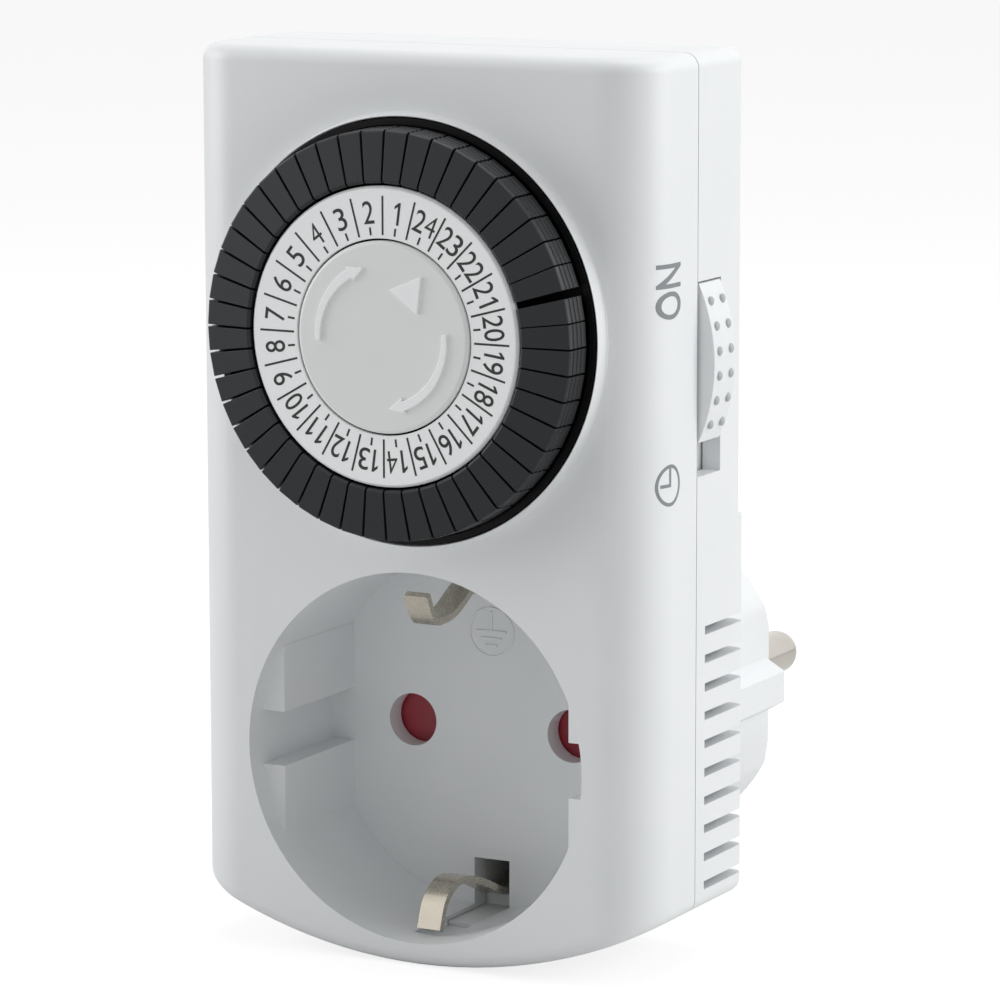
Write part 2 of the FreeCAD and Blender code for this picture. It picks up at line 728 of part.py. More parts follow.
def hour_segments(hour):
    """The two segments of one hour; the hours run anticlockwise, and the first lies just right of the top."""
    pair = []
    for half in range(2):
        angle = 90 + (hour - 2) * 360 / HOURS + (half + 0.5) * 360 / SEGMENTS
        copy = SEGMENT.copy()
        copy.rotate(FreeCAD.Vector(), BACK, -angle)
        copy.translate(FreeCAD.Vector(0, 0, size("dial_height")))
        pair.append(copy)
    return Part.makeCompound(pair)


def hour_ring():
    inside, back = "cap_radius + cap_gap", "ring_front + ring_thick"
    return turned("hour_ring", [
        (inside, "ring_front"), ("ring_radius - 0.3", "ring_front"), ("ring_radius", "ring_front + 0.3"),
        ("ring_radius", back), (inside, back),
    ], "0", "dial_height")


def centre_cap():
    """The still cap in the middle of the dial, pressed on the spindle."""
    back = "cap_front + 0.9"
    seat = "ring_front + ring_thick + boss_recess - 0.5"
    return turned("centre_cap", [
        ("0", "cap_front"), ("cap_radius - 0.3", "cap_front"), ("cap_radius", "cap_front + 0.3"),
        ("cap_radius", back), ("spindle_radius + 1.4", back), ("spindle_radius + 1.4", seat),
        ("spindle_radius", seat), ("spindle_radius", back), ("0", back),
    ], "0", "dial_height")


def dial_spindle():
    collar, seat = "gear_depth + gear_thick + 0.35", "plate_depth"
    return turned("dial_spindle", [
        ("0", "cap_front + 0.9"), ("spindle_radius", "cap_front + 0.9"), ("spindle_radius", collar),
        ("spindle_radius + 1", collar), ("spindle_radius + 1", seat), ("spindle_radius - 0.5", seat),
        ("spindle_radius - 0.5", "plate_depth + plate_thick"), ("0", "plate_depth + plate_thick"),
    ], "0", "dial_height")


def ring(name, inside, outside, d_from, d_to, x="0", z="0"):
    return turned(name, [(inside, d_from), (outside, d_from), (outside, d_to), (inside, d_to)], x, z)


def dial_gear():
    depth, thick = size("gear_depth"), size("gear_thick")
    disc = gear(int(size("dial_teeth")), 0, dial_spot, depth, thick)
    return made(disc.cut(bar(size("hub_radius"), dial_spot, depth - 1, depth + thick + 1)), "dial_gear")


pinion_phase = meshing_phase(int(size("dial_teeth")), 0, int(size("transfer_pinion_teeth")), size("transfer_angle"))
motor_phase = meshing_phase(int(size("transfer_teeth")), 0, int(size("motor_teeth")), size("motor_angle"))


def transfer_wheel():
    """A large wheel and a small pinion in one moulding."""
    depth, thick = size("wheel_depth"), size("wheel_thick")
    large = gear(int(size("transfer_teeth")), 0, transfer_spot, depth, thick)
    front = size("gear_depth") - 0.1
    small = gear(int(size("transfer_pinion_teeth")), pinion_phase, transfer_spot, front, depth - front)
    hole = bar(size("axle_radius") + size("shaft_gap"), transfer_spot, front - 1, depth + thick + 1)
    return made(large.fuse(small).cut(hole), "transfer_wheel")


def motor_pinion():
    front = size("wheel_depth") - 0.1
    back = size("plate_depth") - 0.2
    head = gear(int(size("motor_teeth")), motor_phase, motor_spot, front, back - front)
    shaft = bar(size("axle_radius"), motor_spot, back - 0.2, plate_back + 2)
    return made(head.fuse(shaft), "motor_pinion")


def motor_housing():
    can = bar(size("motor_radius"), motor_spot, plate_back, size("motor_back"))
    hole = bar(size("axle_radius") + size("shaft_gap"), motor_spot, plate_back - 1, plate_back + 2.2)
    rim = [edge for edge in can.Edges if abs(edge.BoundBox.YMax - edge.BoundBox.YMin) < 1e-6]
    return made(can.makeChamfer(0.6, rim).cut(hole), "motor_housing")


def mechanism_plate():
    """A steel plate with two ears for the lever's pin, cut away beside the contacts."""
    sheet_body = prism("plate", [
        ("-18", "case_top - 3"), ("18", "case_top - 3"), ("18", "blade_root + 4.4"), ("plate_edge", "blade_root + 4.4"),
        ("plate_edge", "pivot_height + 3"), ("lever_right + 1.6", "pivot_height + 3"),
        ("lever_right + 1.6", "plate_low_height - 0.8"), ("plate_low_across + 2", "plate_low_height - 0.8"),
        ("plate_low_across + 2", "plate_low_height - 2.4"), ("-18", "plate_low_height - 2.4"),
    ], "plate_depth", "plate_depth + plate_thick")
    ears = [
        block("lever_left - 1.5", "lever_left - 0.3", "pivot_depth - 1.3", "plate_depth + 0.5",
              "pivot_height - 1.3", "pivot_height + 1.3"),
        block("lever_right + 0.3", "lever_right + 1.5", "pivot_depth - 1.3", "plate_depth + 0.5",
              "pivot_height - 1.3", "pivot_height + 1.3"),
    ]
    holes = [drum("screw_radius", "plate_depth - 1", "plate_depth + 3", x, z) for x, z in PLATE_SPOTS]
    holes.append(drum("spindle_radius - 0.5", "plate_depth - 1", "plate_depth + 3", "0", "dial_height"))
    holes.append(made(bar(size("axle_radius"), transfer_spot, size("plate_depth") - 1, plate_back + 1), "axle_hole"))
    holes.append(made(bar(size("axle_radius") + 0.6, motor_spot, size("plate_depth") - 1, plate_back + 1), "shaft_hole"))
    holes.append(rod("pivot_radius", "lever_left - 3", "lever_right + 3", "pivot_depth", "pivot_height"))
    return cut(joined(sheet_body, *ears), *holes)


def switch_lever():
    """A lever that the segments' tails press back, with a side peg for the mode slider."""
    arm = block("lever_left", "lever_right", "lever_front", "lever_front + lever_thick", "pivot_height", "lever_top")
    hub = rod("pivot_depth - lever_front + 0.5", "lever_left", "lever_right", "pivot_depth", "pivot_height")
    nose = block("lever_left + 0.8", "lever_right - 0.7", "tail_end + segment_travel + nose_gap",
                 "lever_front + 0.5", "nose_low", "nose_high")
    peg = block("lever_right - 0.5", "peg_reach", "lever_front", "lever_front + lever_thick", "peg_low", "peg_high")
    pusher = block("lever_left + 0.8", "lever_right - 0.8", "lever_front + 1", "blade_depth - 0.05",
                   "button_height - 0.6", "lever_top")
    hole = rod("pivot_radius + shaft_gap", "lever_left - 1", "lever_right + 1", "pivot_depth", "pivot_height")
    return cut(joined(arm, hub, nose, peg, pusher), hole)


def mode_slider():
    """A crowned thumb piece with a flange inside the wall and a ramp that holds the lever back."""
    half = "(slider_length / 2)"
    bow = "((%s ^ 2 + slider_crest ^ 2) / (2 * slider_crest))" % half
    crown = common(
        block("case_width / 2 - wall - 0.4", "case_width / 2 + slider_crest + 1",
              "seam_depth + slider_gap + seam_gap", "seam_depth + slot_depth - slider_gap",
              "slider_low", "slider_low + slider_length"),
        drum(bow, "seam_depth", "seam_depth + slot_depth", "case_width / 2 + slider_crest - %s" % bow,
             "slider_low + %s" % half),
    )
    inside = "case_width / 2 - wall - slider_gap"
    flange = block("%s - flange_thick" % inside, inside, "seam_depth - 1.2", "seam_depth + slot_depth + 1",
                   "flange_low", "flange_high")
    low, high = "peg_low - 1", "peg_low + slider_travel + 0.5"
    arm = block("peg_reach + 0.2", "%s - 1" % inside, "lever_front - 2.6", "seam_depth + slot_depth", low, high)
    touch = "lever_front - cam_gap"
    fall = "(peg_low - pivot_height) * tan(lever_swing) * 1.15 / slider_travel"
    ramp = side_prism("cam_ramp", [
        (touch, low), (touch, "peg_low"), ("%s - %s * (slider_travel + 0.5)" % (touch, fall), high),
        ("lever_front - 2.6", high), ("lever_front - 2.6", low),
    ], "lever_right + 0.6", "peg_reach + 0.4")
    return joined(crown, flange, arm, ramp)


def contact_blade():
    """A springy blade with a silver button, held at its upper end."""
    left, right = "lever_left + 0.4", "lever_right - 0.4"
    blade = block(left, right, "blade_depth", "blade_depth + blade_thick", "blade_low", "blade_root")
    button = drum("button_radius", "blade_depth + blade_thick / 2", "blade_depth + blade_thick + button_thick",
                  "(lever_left + lever_right) / 2", "button_height")
    root = rod("0.45", left, right, "blade_depth + blade_thick / 2", "blade_root")
    return joined(blade, button, root)


def switch_base():
    """The insulating block that holds the contacts' upper ends."""
    block_form = block("plate_edge", "lever_right + 0.6", "blade_depth - 1.2", "rear_depth - wall - fit_gap",
                       "blade_root - 1.1", "blade_root + 4")
    slot = block("plate_edge - 1", "lever_right + 2", "blade_depth - 0.45", "blade_depth + blade_thick + 0.45",
                 "blade_root - 2", "blade_root + 0.6")
    return cut(block_form, slot)


def fixed_contact():
    front = "blade_depth + blade_thick + button_thick + 0.03"
    strip = block("lever_left + 0.4", "lever_right - 0.4", "%s + button_thick" % front,
                  "%s + button_thick + strip_thick" % front, "blade_low + 0.6", "blade_root - 1.1")
    button = drum("button_radius", front, "%s + button_thick + strip_thick / 2" % front,
                  "(lever_left + lever_right) / 2", "button_height")
    return joined(strip, button)


def lever_spring():
    """A leaf between the plate and the lever."""
    middle = (size("lever_left") + size("lever_right")) / 2
    z = size("pivot_height")
    back = size("plate_depth")
    lever_back = size("lever_front") + size("lever_thick")
    path = [(middle, back - 0.15, z + 1.6), (middle, back - 0.15, z + 3.2), (middle, lever_back + 0.35, z + 7.0)]
    leaf = bent_strip(path, 0.3, 2.4, (1, 0, 0), 1.0)
    return made(leaf, "lever_spring")


def socket_shutter():
    """A red disc that hides the socket's contacts until both pins turn it."""
    depth = "well_depth + floor_thick + shutter_gap"
    disc = ring("shutter", "spigot_radius + shaft_gap", "shutter_radius", depth, "%s + shutter_thick" % depth)
    windows = []
    for side in (0, 180):
        x, z = place_from((0, 0), size("pin_pitch") / 2, side + size("shutter_swing"))
        front = size("well_depth") + size("floor_thick")
        windows.append(made(bar(size("shutter_window"), (x, z), front, front + 4), "window"))
    return cut(disc, *windows)


def contact_carrier():
    """A cup behind the shutter, with a spigot for it and holes for the plug's pins."""
    front = "well_depth + floor_thick + 0.05"
    seat = "well_depth + floor_thick + shutter_gap + shutter_thick + 0.4"
    cup = turned("carrier", [
        ("0", front), ("spigot_radius", front), ("spigot_radius", seat), ("shutter_radius + 0.35", seat),
        ("shutter_radius + 0.35", front), ("carrier_radius - fit_gap", front),
        ("carrier_radius - fit_gap", "%s + carrier_thick" % seat), ("0", "%s + carrier_thick" % seat),
    ])
    holes = [drum("pin_hole_radius + 0.35", seat + " - 1", seat + " + 4", side + "pin_pitch / 2")
             for side in ("", "-")]
    return cut(cup, *holes)


def shutter_spring():
    """A flat hook spring that turns the shutter back."""
    depth = size("well_depth") + size("floor_thick") + size("shutter_gap") + size("shutter_thick") + 0.2
    inner_r = size("spigot_radius") + 0.5
    middle, high = FreeCAD.Vector(0, depth, 0), 0.2
    coil = Part.makeCylinder(inner_r + 0.4, high, middle, BACK).cut(Part.makeCylinder(inner_r, high, middle, BACK))
    gap = Part.makeBox(1.2, high, inner_r + 2, FreeCAD.Vector(-0.6, depth, -inner_r - 2))
    tail = Part.makeBox(0.4, high, 8.5, FreeCAD.Vector(-1.0, depth, -inner_r - 8.5))
    return made(coil.cut(gap).fuse(tail), "shutter_spring")


def socket_contact(side, reach):
    """A two-leaf grip for a plug's pin, with a strip that runs back from it."""
    x = side * size("pin_pitch") / 2
    leaf, half = size("leaf_thick"), size("pin_radius") + 0.15
    front = size("well_depth") + size("floor_thick") + 5.0
    back = front + 8.5
    grip = bent_strip([(x - half - 0.5, front, 0), (x - half, front + 2.5, 0), (x - half - 0.4, back, 0),
                       (x + half + 0.4, back, 0), (x + half, front + 2.5, 0), (x + half + 0.5, front, 0)],
                      leaf, size("leaf_width"), (0, 0, 1), 0.9)
    strip = bent_strip([(x, back, 0), (x, reach - leaf / 2, 0)], leaf, size("leaf_width") - 1, (0, 0, 1))
    return grip.fuse(strip)


def earth_strip():
    """One bent strip that makes both of the socket's earth clips."""
    high, back = size("earth_strip_high"), size("strip_depth")
    half = [(0, 4.9, high + 1.4), (0, 6.5, high - 0.8), (0, 9.5, high - 2.2), (0, 12.5, high - 0.9),
            (0, 17.5, high), (0, back, high)]
    other = [(x, depth, -z) for x, depth, z in reversed(half)]
    return made(bent_strip(half + other, size("strip_thick"), size("earth_width"), (1, 0, 0), 1.6), "earth_strip")


def plug_earth_strips():
    """Spring strips in the notches at the top and bottom of the plug."""
    thick, start = size("strip_thick"), size("strip_depth") + size("strip_thick")
    notch, face = size("plug_notch_depth") + 1, size("front_reach")
    high = size("plug_radius") - 0.9
    strips = []
    for side in (1, -1):
        path = [(0, start, side * 9.0), (0, start, side * 13.0), (0, notch, side * 13.0), (0, notch, side * high),
                (0, face - 3.0, side * high), (0, face - 1.4, side * (high - 0.75))]
        strips.append(bent_strip(path, thick, size("earth_width") + 0.4, (1, 0, 0), 1.0))
    return made(Part.makeCompound(strips), "plug_earth_strips")


def plug_pin(name, side):
    """A solid plug pin with a collar in the face, a flange behind it and a tail for its wire."""
    inside = "front_reach - plug_face"
    tip = "front_reach + pin_length"
    body = turned(name, [
        ("0", "%s - 1.5 - pin_tail" % inside), ("pin_radius - 0.6", "%s - 1.5 - pin_tail" % inside),
        ("pin_radius - 0.6", "%s - 1.5" % inside), ("pin_flange", "%s - 1.5" % inside), ("pin_flange", inside),
        ("pin_collar", inside), ("pin_collar", "front_reach"), ("pin_radius", "front_reach"), ("pin_radius", tip),
        ("0", tip),
    ], side + "pin_pitch / 2")
    depth = size("front_reach") + size("pin_length")
    return rounded(body, lambda e: e.BoundBox.YMin > depth - 1e-6, "pin_radius * 0.92")


def load_wire():
    """The wire from the switch to the socket's live contact."""
    x, deep = (size("lever_left") + size("lever_right")) / 2, size("duct_across")
    front = size("blade_depth") + size("blade_thick") + 2 * size("button_thick") + 0.03 + size("strip_thick")
    reach = front + size("wire_radius")
    wall_depth = size("rear_depth") - size("wall")
    grip = size("well_depth") + size("floor_thick") + 13.5
    path = [(x, reach, 52), (x, reach, 33), (12, 16, 26.5), (deep, 18.6, 24.4), (deep, wall_depth + 1.0, 20.9),
            (deep, wall_depth + 1.0, 16.0), (deep, 25.4, 15.4), (deep + 0.5, 30, 11.5),
            (size("pin_pitch") / 2, grip + 1.6, 7), (size("pin_pitch") / 2, grip + 1.6, 2.9)]
    return made(wire(path, size("wire_radius"), 3.0), "load_wire")


def live_wire():
    """The wire from the live pin to the switch blade."""
    side = -size("duct_across")
    wall_depth = size("rear_depth") - size("wall")
    tail = size("front_reach") - size("plug_face") - 1.5 - size("pin_tail")
    path = [(size("pin_pitch") / 2, tail, 0), (size("pin_pitch") / 2, tail - 3.5, 0), (6, tail - 5.5, 7.5),
            (-1, tail - 9, 10.5), (side, 30.5, 11.3), (side, 25.4, 15.4), (side, wall_depth + 1.0, 16.0),
            (side, wall_depth + 1.0, 20.9), (side, 18.6, 24.4), (2, 16, 27.5), (10.5, 14, 30), (13.2, 14, 38),
            (13.2, 14, 54), (13.6, 14, 58.5)]
    return made(wire(path, size("wire_radius"), 3.0), "live_wire")


def motor_leads():
    """Two thin wires that feed the motor."""
    low = motor_spot[1] - size("motor_radius") - 0.05
    wall_depth = size("rear_depth") - size("wall")
    side = -size("duct_across") - 2.7
    neutral = [(motor_spot[0] - 3, 15, low), (motor_spot[0] - 3, 15, 30.5), (side, 18.8, 24.6),
               (side, wall_depth + 1.0, 21.2), (side, wall_depth + 1.0, 16.0), (side, 25.2, 13.9), (-8.6, 31.5, 9.5),
               (-9.5, 34.6, 5.0), (-9.5, 34.6, 2.5)]
    live = [(motor_spot[0] + 3, 15, low), (motor_spot[0] + 3, 15, 31.5), (0.6, 16.4, 28.3)]
    return made(Part.makeCompound([wire(neutral, size("lead_radius"), 3.0), wire(live, size("lead_radius"), 3.0)]),
                "motor_leads")


def screw(x, z, head_front, shank_front, head_back):
    head = drum("screw_head", head_front, head_back, x, z)
    shank = drum("screw_radius", shank_front, head_front, x, z)
    return head, shank


def case_screws():
    solids = []
    for x, z in SCREW_SPOTS:
        solids += screw(x, z, "screw_seat", "screw_seat - 11", "screw_seat + 1.6")
    return joined(*solids)


def mechanism_screws():
    solids = []
    for x, z in PLATE_SPOTS:
        solids += screw(x, z, "plate_depth + plate_thick", "plate_depth - 5", "plate_depth + plate_thick + 1.3")
    return joined(*solids)


piece(front_case(), "front_case")
piece(rear_case(), "rear_case")
piece(mechanism_plate(), "mechanism_plate")
piece(dial_spindle(), "dial_spindle")
piece(centre_cap(), "centre_cap")
piece(ring("clip", "spindle_radius", "spindle_radius + 1.4", "ring_front + ring_thick + boss_recess - 0.5",
           "ring_front + ring_thick + boss_recess - 0.05", "0", "dial_height"), "spindle_clip")
piece(motor_housing(), "motor_housing")
piece(made(bar(size("motor_radius"), motor_spot, size("motor_back"), size("motor_back") + size("end_plate_thick")),
           "end_plate"), "motor_end_plate")
piece(made(bar(size("axle_radius"), transfer_spot, size("gear_depth") - 0.3, plate_back), "axle"), "transfer_axle")
piece(rod("pivot_radius", "lever_left - 1.5", "lever_right + 1.5", "pivot_depth", "pivot_height"), "lever_pivot")
piece(lever_spring(), "lever_spring")
piece(switch_base(), "switch_base")
piece(fixed_contact(), "fixed_contact")
piece(load_wire(), "load_wire")
piece(contact_carrier(), "contact_carrier")
piece(shutter_spring(), "shutter_spring")
piece(made(socket_contact(1, 38.0), "live_grip"), "live_contact")
piece(made(socket_contact(-1, size("front_reach") - size("plug_face") - 1.5 - size("pin_tail")), "neutral_grip"),
      "neutral_contact")
piece(earth_strip(), "earth_strip")
piece(plug_earth_strips(), "plug_earth_strips")
piece(plug_pin("live_pin", ""), "live_pin")
piece(plug_pin("neutral_pin", "-"), "neutral_pin")
piece(live_wire(), "live_wire")
piece(motor_leads(), "motor_leads")
piece(case_screws(), "case_screws")
piece(mechanism_screws(), "mechanism_screws")
piece(dial_carrier(), "dial_carrier")
piece(hour_ring(), "hour_ring")
piece(dial_gear(), "dial_gear")
piece(ring("washer", "spindle_radius + 0.3", "spindle_radius + 2.2", "gear_depth + gear_thick",
           "gear_depth + gear_thick + 0.3", "0", "dial_height"), "friction_washer")
piece(transfer_wheel(), "transfer_wheel")
piece(motor_pinion(), "motor_pinion")
piece(switch_lever(), "switch_lever")
piece(contact_blade(), "contact_blade")
piece(mode_slider(), "mode_slider")
piece(socket_shutter(), "socket_shutter")
for hour in range(1, HOURS + 1):
    piece(made(hour_segments(hour), "hour_segments"), "segments_hour_%02d" % hour)

doc.recompute()
for item in doc.Objects:
    if "Invalid" in item.State or "Error" in item.State:
        raise RuntimeError("%s did not rebuild: %s" % (item.Label, item.State))
for item in pieces:
    if item.Shape.isNull() or not item.Shape.isValid():
        raise RuntimeError("%s has no valid shape" % item.Label)
os.makedirs("parts", exist_ok=True)
for item in pieces:
    item.Shape.exportStep("parts/%s.step" % item.Label)
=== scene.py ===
import json
import math

import bmesh
import bpy
from mathutils import Matrix, Vector

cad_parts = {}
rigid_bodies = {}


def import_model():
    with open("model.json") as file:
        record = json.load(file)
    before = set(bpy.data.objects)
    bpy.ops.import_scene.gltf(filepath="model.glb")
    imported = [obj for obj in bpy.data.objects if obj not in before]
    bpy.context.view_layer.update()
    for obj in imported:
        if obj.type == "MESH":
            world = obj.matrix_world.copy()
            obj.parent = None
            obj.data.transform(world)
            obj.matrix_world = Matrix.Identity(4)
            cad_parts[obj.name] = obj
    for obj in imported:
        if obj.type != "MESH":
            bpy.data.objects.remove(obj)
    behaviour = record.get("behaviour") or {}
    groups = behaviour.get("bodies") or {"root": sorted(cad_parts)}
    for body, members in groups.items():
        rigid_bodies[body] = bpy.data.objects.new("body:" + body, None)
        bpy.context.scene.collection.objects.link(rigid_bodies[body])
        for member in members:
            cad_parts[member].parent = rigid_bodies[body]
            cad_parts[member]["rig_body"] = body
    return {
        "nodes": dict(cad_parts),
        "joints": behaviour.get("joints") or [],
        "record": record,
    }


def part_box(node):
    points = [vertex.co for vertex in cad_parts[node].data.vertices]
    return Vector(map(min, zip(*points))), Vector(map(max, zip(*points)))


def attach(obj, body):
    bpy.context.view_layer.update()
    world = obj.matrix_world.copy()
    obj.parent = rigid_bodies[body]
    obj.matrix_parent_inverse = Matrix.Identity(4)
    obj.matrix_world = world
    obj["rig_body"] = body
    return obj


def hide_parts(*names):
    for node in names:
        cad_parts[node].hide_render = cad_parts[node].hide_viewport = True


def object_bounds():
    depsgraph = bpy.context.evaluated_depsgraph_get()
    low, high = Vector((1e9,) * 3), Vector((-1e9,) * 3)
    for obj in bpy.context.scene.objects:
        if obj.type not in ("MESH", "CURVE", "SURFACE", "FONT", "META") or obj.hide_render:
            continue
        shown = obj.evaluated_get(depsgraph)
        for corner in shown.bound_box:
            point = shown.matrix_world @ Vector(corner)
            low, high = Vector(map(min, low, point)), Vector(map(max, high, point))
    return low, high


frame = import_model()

# A plug-in timer switch: satin white case, a dial of dark segments, an earthed socket and a mode slider.
# Sizes are in millimetres and are turned to metres where a mesh is made.

MM = 0.001
cad_low, cad_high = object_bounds()

# Camera, as the photograph was taken: from the right of the front and a little above.
CAMERA_PLACE = Vector((238.11, -486.63, 109.15))
CAMERA_LOOK = Vector((-0.45843, 0.87356, -0.16353))
CAMERA_ROLL = -0.102
CAMERA_LENS = 176.95

# Faces and centres that the frame gives.
joint_of = {joint["name"]: joint for joint in frame["joints"]}
DIAL_CENTRE = Vector(joint_of["dial_turn"]["pos_m"]) / MM
FRONT_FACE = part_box("front_case")[0].y / MM
SIDE_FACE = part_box("rear_case")[1].x / MM
RING_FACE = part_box("hour_ring")[0].y / MM
CAP_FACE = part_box("centre_cap")[0].y / MM
SLIDER_CREST_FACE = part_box("mode_slider")[1].x / MM
DRUM_RADIUS = (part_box("dial_carrier")[1].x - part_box("dial_carrier")[0].x) / 2 / MM

# Depths behind the front face, heights above the plug's pins, and radii.
WELL_DEPTH = 17.5
CORNER_RADIUS = 6.0
PEDESTAL_START, PEDESTAL_END = 23.3, 33.5
PEDESTAL_WIDE, PEDESTAL_NARROW = 20.5, 18.5
SLIDER_DEPTH = 14.3
SLIDER_FOOT, SLIDER_LENGTH, SLIDER_CREST = 33.2, 16.3, 1.8

HOURS = 24
SEGMENTS = 48
PRINT_THICK = 0.02

# Directions: a dial's face is read from the front, a flank from the right.
TOWARDS_VIEWER = Vector((0, -1, 0))
TO_THE_RIGHT = Vector((1, 0, 0))
TO_THE_BACK = Vector((0, 1, 0))
UPWARDS = Vector((0, 0, 1))


def linear(code):
    """An sRGB colour written as hex, in linear light."""
    parts = [int(code[k:k + 2], 16) / 255 for k in (1, 3, 5)]
    return tuple(v / 12.92 if v <= 0.04045 else ((v + 0.055) / 1.055) ** 2.4 for v in parts) + (1.0,)


def add(tree, kind, inputs=None, **settings):
    """Adds a node, with its settings, and with a value or a link for each input named."""
    node = tree.nodes.new(kind)
    for name, value in settings.items():
        setattr(node, name, value)
    for key, value in (inputs or {}).items():
        if isinstance(value, bpy.types.NodeSocket):
            tree.links.new(value, node.inputs[key])
        else:
            node.inputs[key].default_value = value
    return node


def per_mm(length):
    """The scale at which a noise repeats about once in a length given in millimetres."""
    return 1 / (length * MM)


def surface(name, colour, shade, roughness, spread, grain, height, metallic=0.0, blotch=9.0, **shader):
    """A finish whose colour and roughness drift slowly, under a fine grain."""
    material = bpy.data.materials.new(name)
    material.use_nodes = True
    tree = material.node_tree
    tree.nodes.clear()
    place = add(tree, "ShaderNodeTexCoord").outputs["Object"]
    slow = add(tree, "ShaderNodeTexNoise", {"Vector": place, "Scale": per_mm(blotch), "Detail": 3.0})
    fine = add(tree, "ShaderNodeTexNoise", {"Vector": place, "Scale": per_mm(grain), "Detail": 2.0})
    tone = add(tree, "ShaderNodeMix", {"Factor": slow.outputs["Fac"], 6: linear(colour), 7: linear(shade)},
               data_type="RGBA")
    gloss = add(tree, "ShaderNodeMapRange", {"Value": slow.outputs["Fac"], "From Min": 0.3, "From Max": 0.7,
                                             "To Min": roughness - spread, "To Max": roughness + spread})
    bump = add(tree, "ShaderNodeBump",
               {"Height": fine.outputs["Fac"], "Strength": 1.0, "Distance": height * MM})
    bsdf = add(tree, "ShaderNodeBsdfPrincipled", {
        "Base Color": tone.outputs[2], "Roughness": gloss.outputs["Result"], "Normal": bump.outputs["Normal"],
        "Metallic": metallic,
    })
    for socket, value in shader.items():
        bsdf.inputs[socket.replace("_", " ")].default_value = value
    add(tree, "ShaderNodeOutputMaterial", {"Surface": bsdf.outputs[0]})
    return material


def satin_abs():
    """White ABS from a lightly spark-eroded mould: an even satin with a grain that only shows at an angle."""
    return surface("satin_white_abs", "#e9ebec", "#e3e6e8", 0.42, 0.03, 0.35, 0.004, IOR=1.54)


def fine_satin_abs():
    """White ABS with a finer satin than the case, under the dial's print."""
    return surface("fine_satin_white_abs", "#fafbfc", "#f5f7f8", 0.36, 0.02, 0.25, 0.002, IOR=1.54)


def cap_abs():
    """White ABS of the middle cap, a little greyer than the printed ring round it."""
    return surface("satin_cap_abs", "#e9ebea", "#e4e6e5", 0.4, 0.02, 0.3, 0.003, IOR=1.54)


def charcoal_nylon():
    """Charcoal nylon, dull and slightly mottled, as a moulding of many small pushers is."""
    return surface("satin_charcoal_nylon", "#1b1e21", "#16181b", 0.44, 0.05, 0.3, 0.006, blotch=4.0,
                   IOR=1.53, Specular_IOR_Level=0.35)


def black_styrene():
    """Black polystyrene in the shade of the segments: a deep black with hardly a highlight."""
    return surface("black_styrene", "#060607", "#040405", 0.35, 0.04, 0.6, 0.001,
                   IOR=1.59, Specular_IOR_Level=0.15)


def red_polycarbonate():
    """Red polycarbonate, satin, seen through the socket's two holes."""
    return surface("satin_red_polycarbonate", "#a52f3c", "#952633", 0.34, 0.04, 0.4, 0.003, IOR=1.58)


def grip_abs():
    """White ABS of the slider's grip dots, given a darker grey as painted shade for the shade the dots show.
    """
    return surface("grip_dot_painted_shade_abs", "#b4b8ba", "#a8acae", 0.5, 0.04, 0.3, 0.004, IOR=1.54, blotch=2.0)


def grey_polyamide():
    """Grey heat-resisting polyamide round the contacts."""
    return surface("grey_polyamide", "#8b8e90", "#7f8284", 0.5, 0.05, 0.3, 0.006, IOR=1.53)


def natural_acetal():
    """Natural acetal, milky and slick, as gears are moulded from."""
    return surface("natural_acetal", "#e2ded2", "#d8d3c5", 0.32, 0.04, 0.4, 0.002, IOR=1.48)


def black_ink():
    """Pad-printed black ink, nearly matt."""
    return surface("black_pad_print", "#1b1c1e", "#232426", 0.5, 0.04, 0.2, 0.001, blotch=3.0)


def grey_ink():
    """Pad-printed grey ink on the side of the case."""
    return surface("grey_pad_print", "#84898c", "#7d8285", 0.48, 0.04, 0.2, 0.001, blotch=3.0)


def brushed(name, colour, shade, roughness, spread, grit, along):
    """A rolled or drawn metal whose fine lines run along one axis."""
    material = bpy.data.materials.new(name)
    material.use_nodes = True
    tree = material.node_tree
    tree.nodes.clear()
    place = add(tree, "ShaderNodeTexCoord").outputs["Object"]
    stretch = [per_mm(grit)] * 3
    stretch["XYZ".index(along)] = per_mm(grit * 14)
    drawn = add(tree, "ShaderNodeMapping", {"Vector": place, "Scale": stretch})
    lines = add(tree, "ShaderNodeTexNoise", {"Vector": drawn.outputs[0], "Scale": 1.0, "Detail": 2.0})
    stain = add(tree, "ShaderNodeTexNoise", {"Vector": place, "Scale": per_mm(3.0), "Detail": 2.0})
    tone = add(tree, "ShaderNodeMix", {"Factor": stain.outputs["Fac"], 6: linear(colour), 7: linear(shade)},
               data_type="RGBA")
    gloss = add(tree, "ShaderNodeMapRange", {"Value": lines.outputs["Fac"], "From Min": 0.3, "From Max": 0.7,
                                             "To Min": roughness - spread, "To Max": roughness + spread})
    bump = add(tree, "ShaderNodeBump",
               {"Height": lines.outputs["Fac"], "Strength": 1.0, "Distance": 0.002 * MM})
    bsdf = add(tree, "ShaderNodeBsdfPrincipled", {
        "Base Color": tone.outputs[2], "Roughness": gloss.outputs["Result"], "Normal": bump.outputs["Normal"],
        "Metallic": 1.0,
    })
    add(tree, "ShaderNodeOutputMaterial", {"Surface": bsdf.outputs[0]})
    return material


def nickel_strip():
    """Nickel-plated spring strip, warm and slightly grained along its length."""
    return brushed("nickel_plated_strip", "#cfc8bb", "#bfb7a8", 0.26, 0.08, 0.12, "Y")


def nickel_pin():
    """Turned brass pins under bright nickel."""
    return brushed("nickel_plated_pin", "#d3cfc8", "#c6c1b8", 0.2, 0.05, 0.15, "Y")


def stamped_brass():
    """Stamped brass contacts, yellow with a dull bloom."""
    return brushed("stamped_brass", "#cda85c", "#b8934a", 0.34, 0.08, 0.15, "Z")


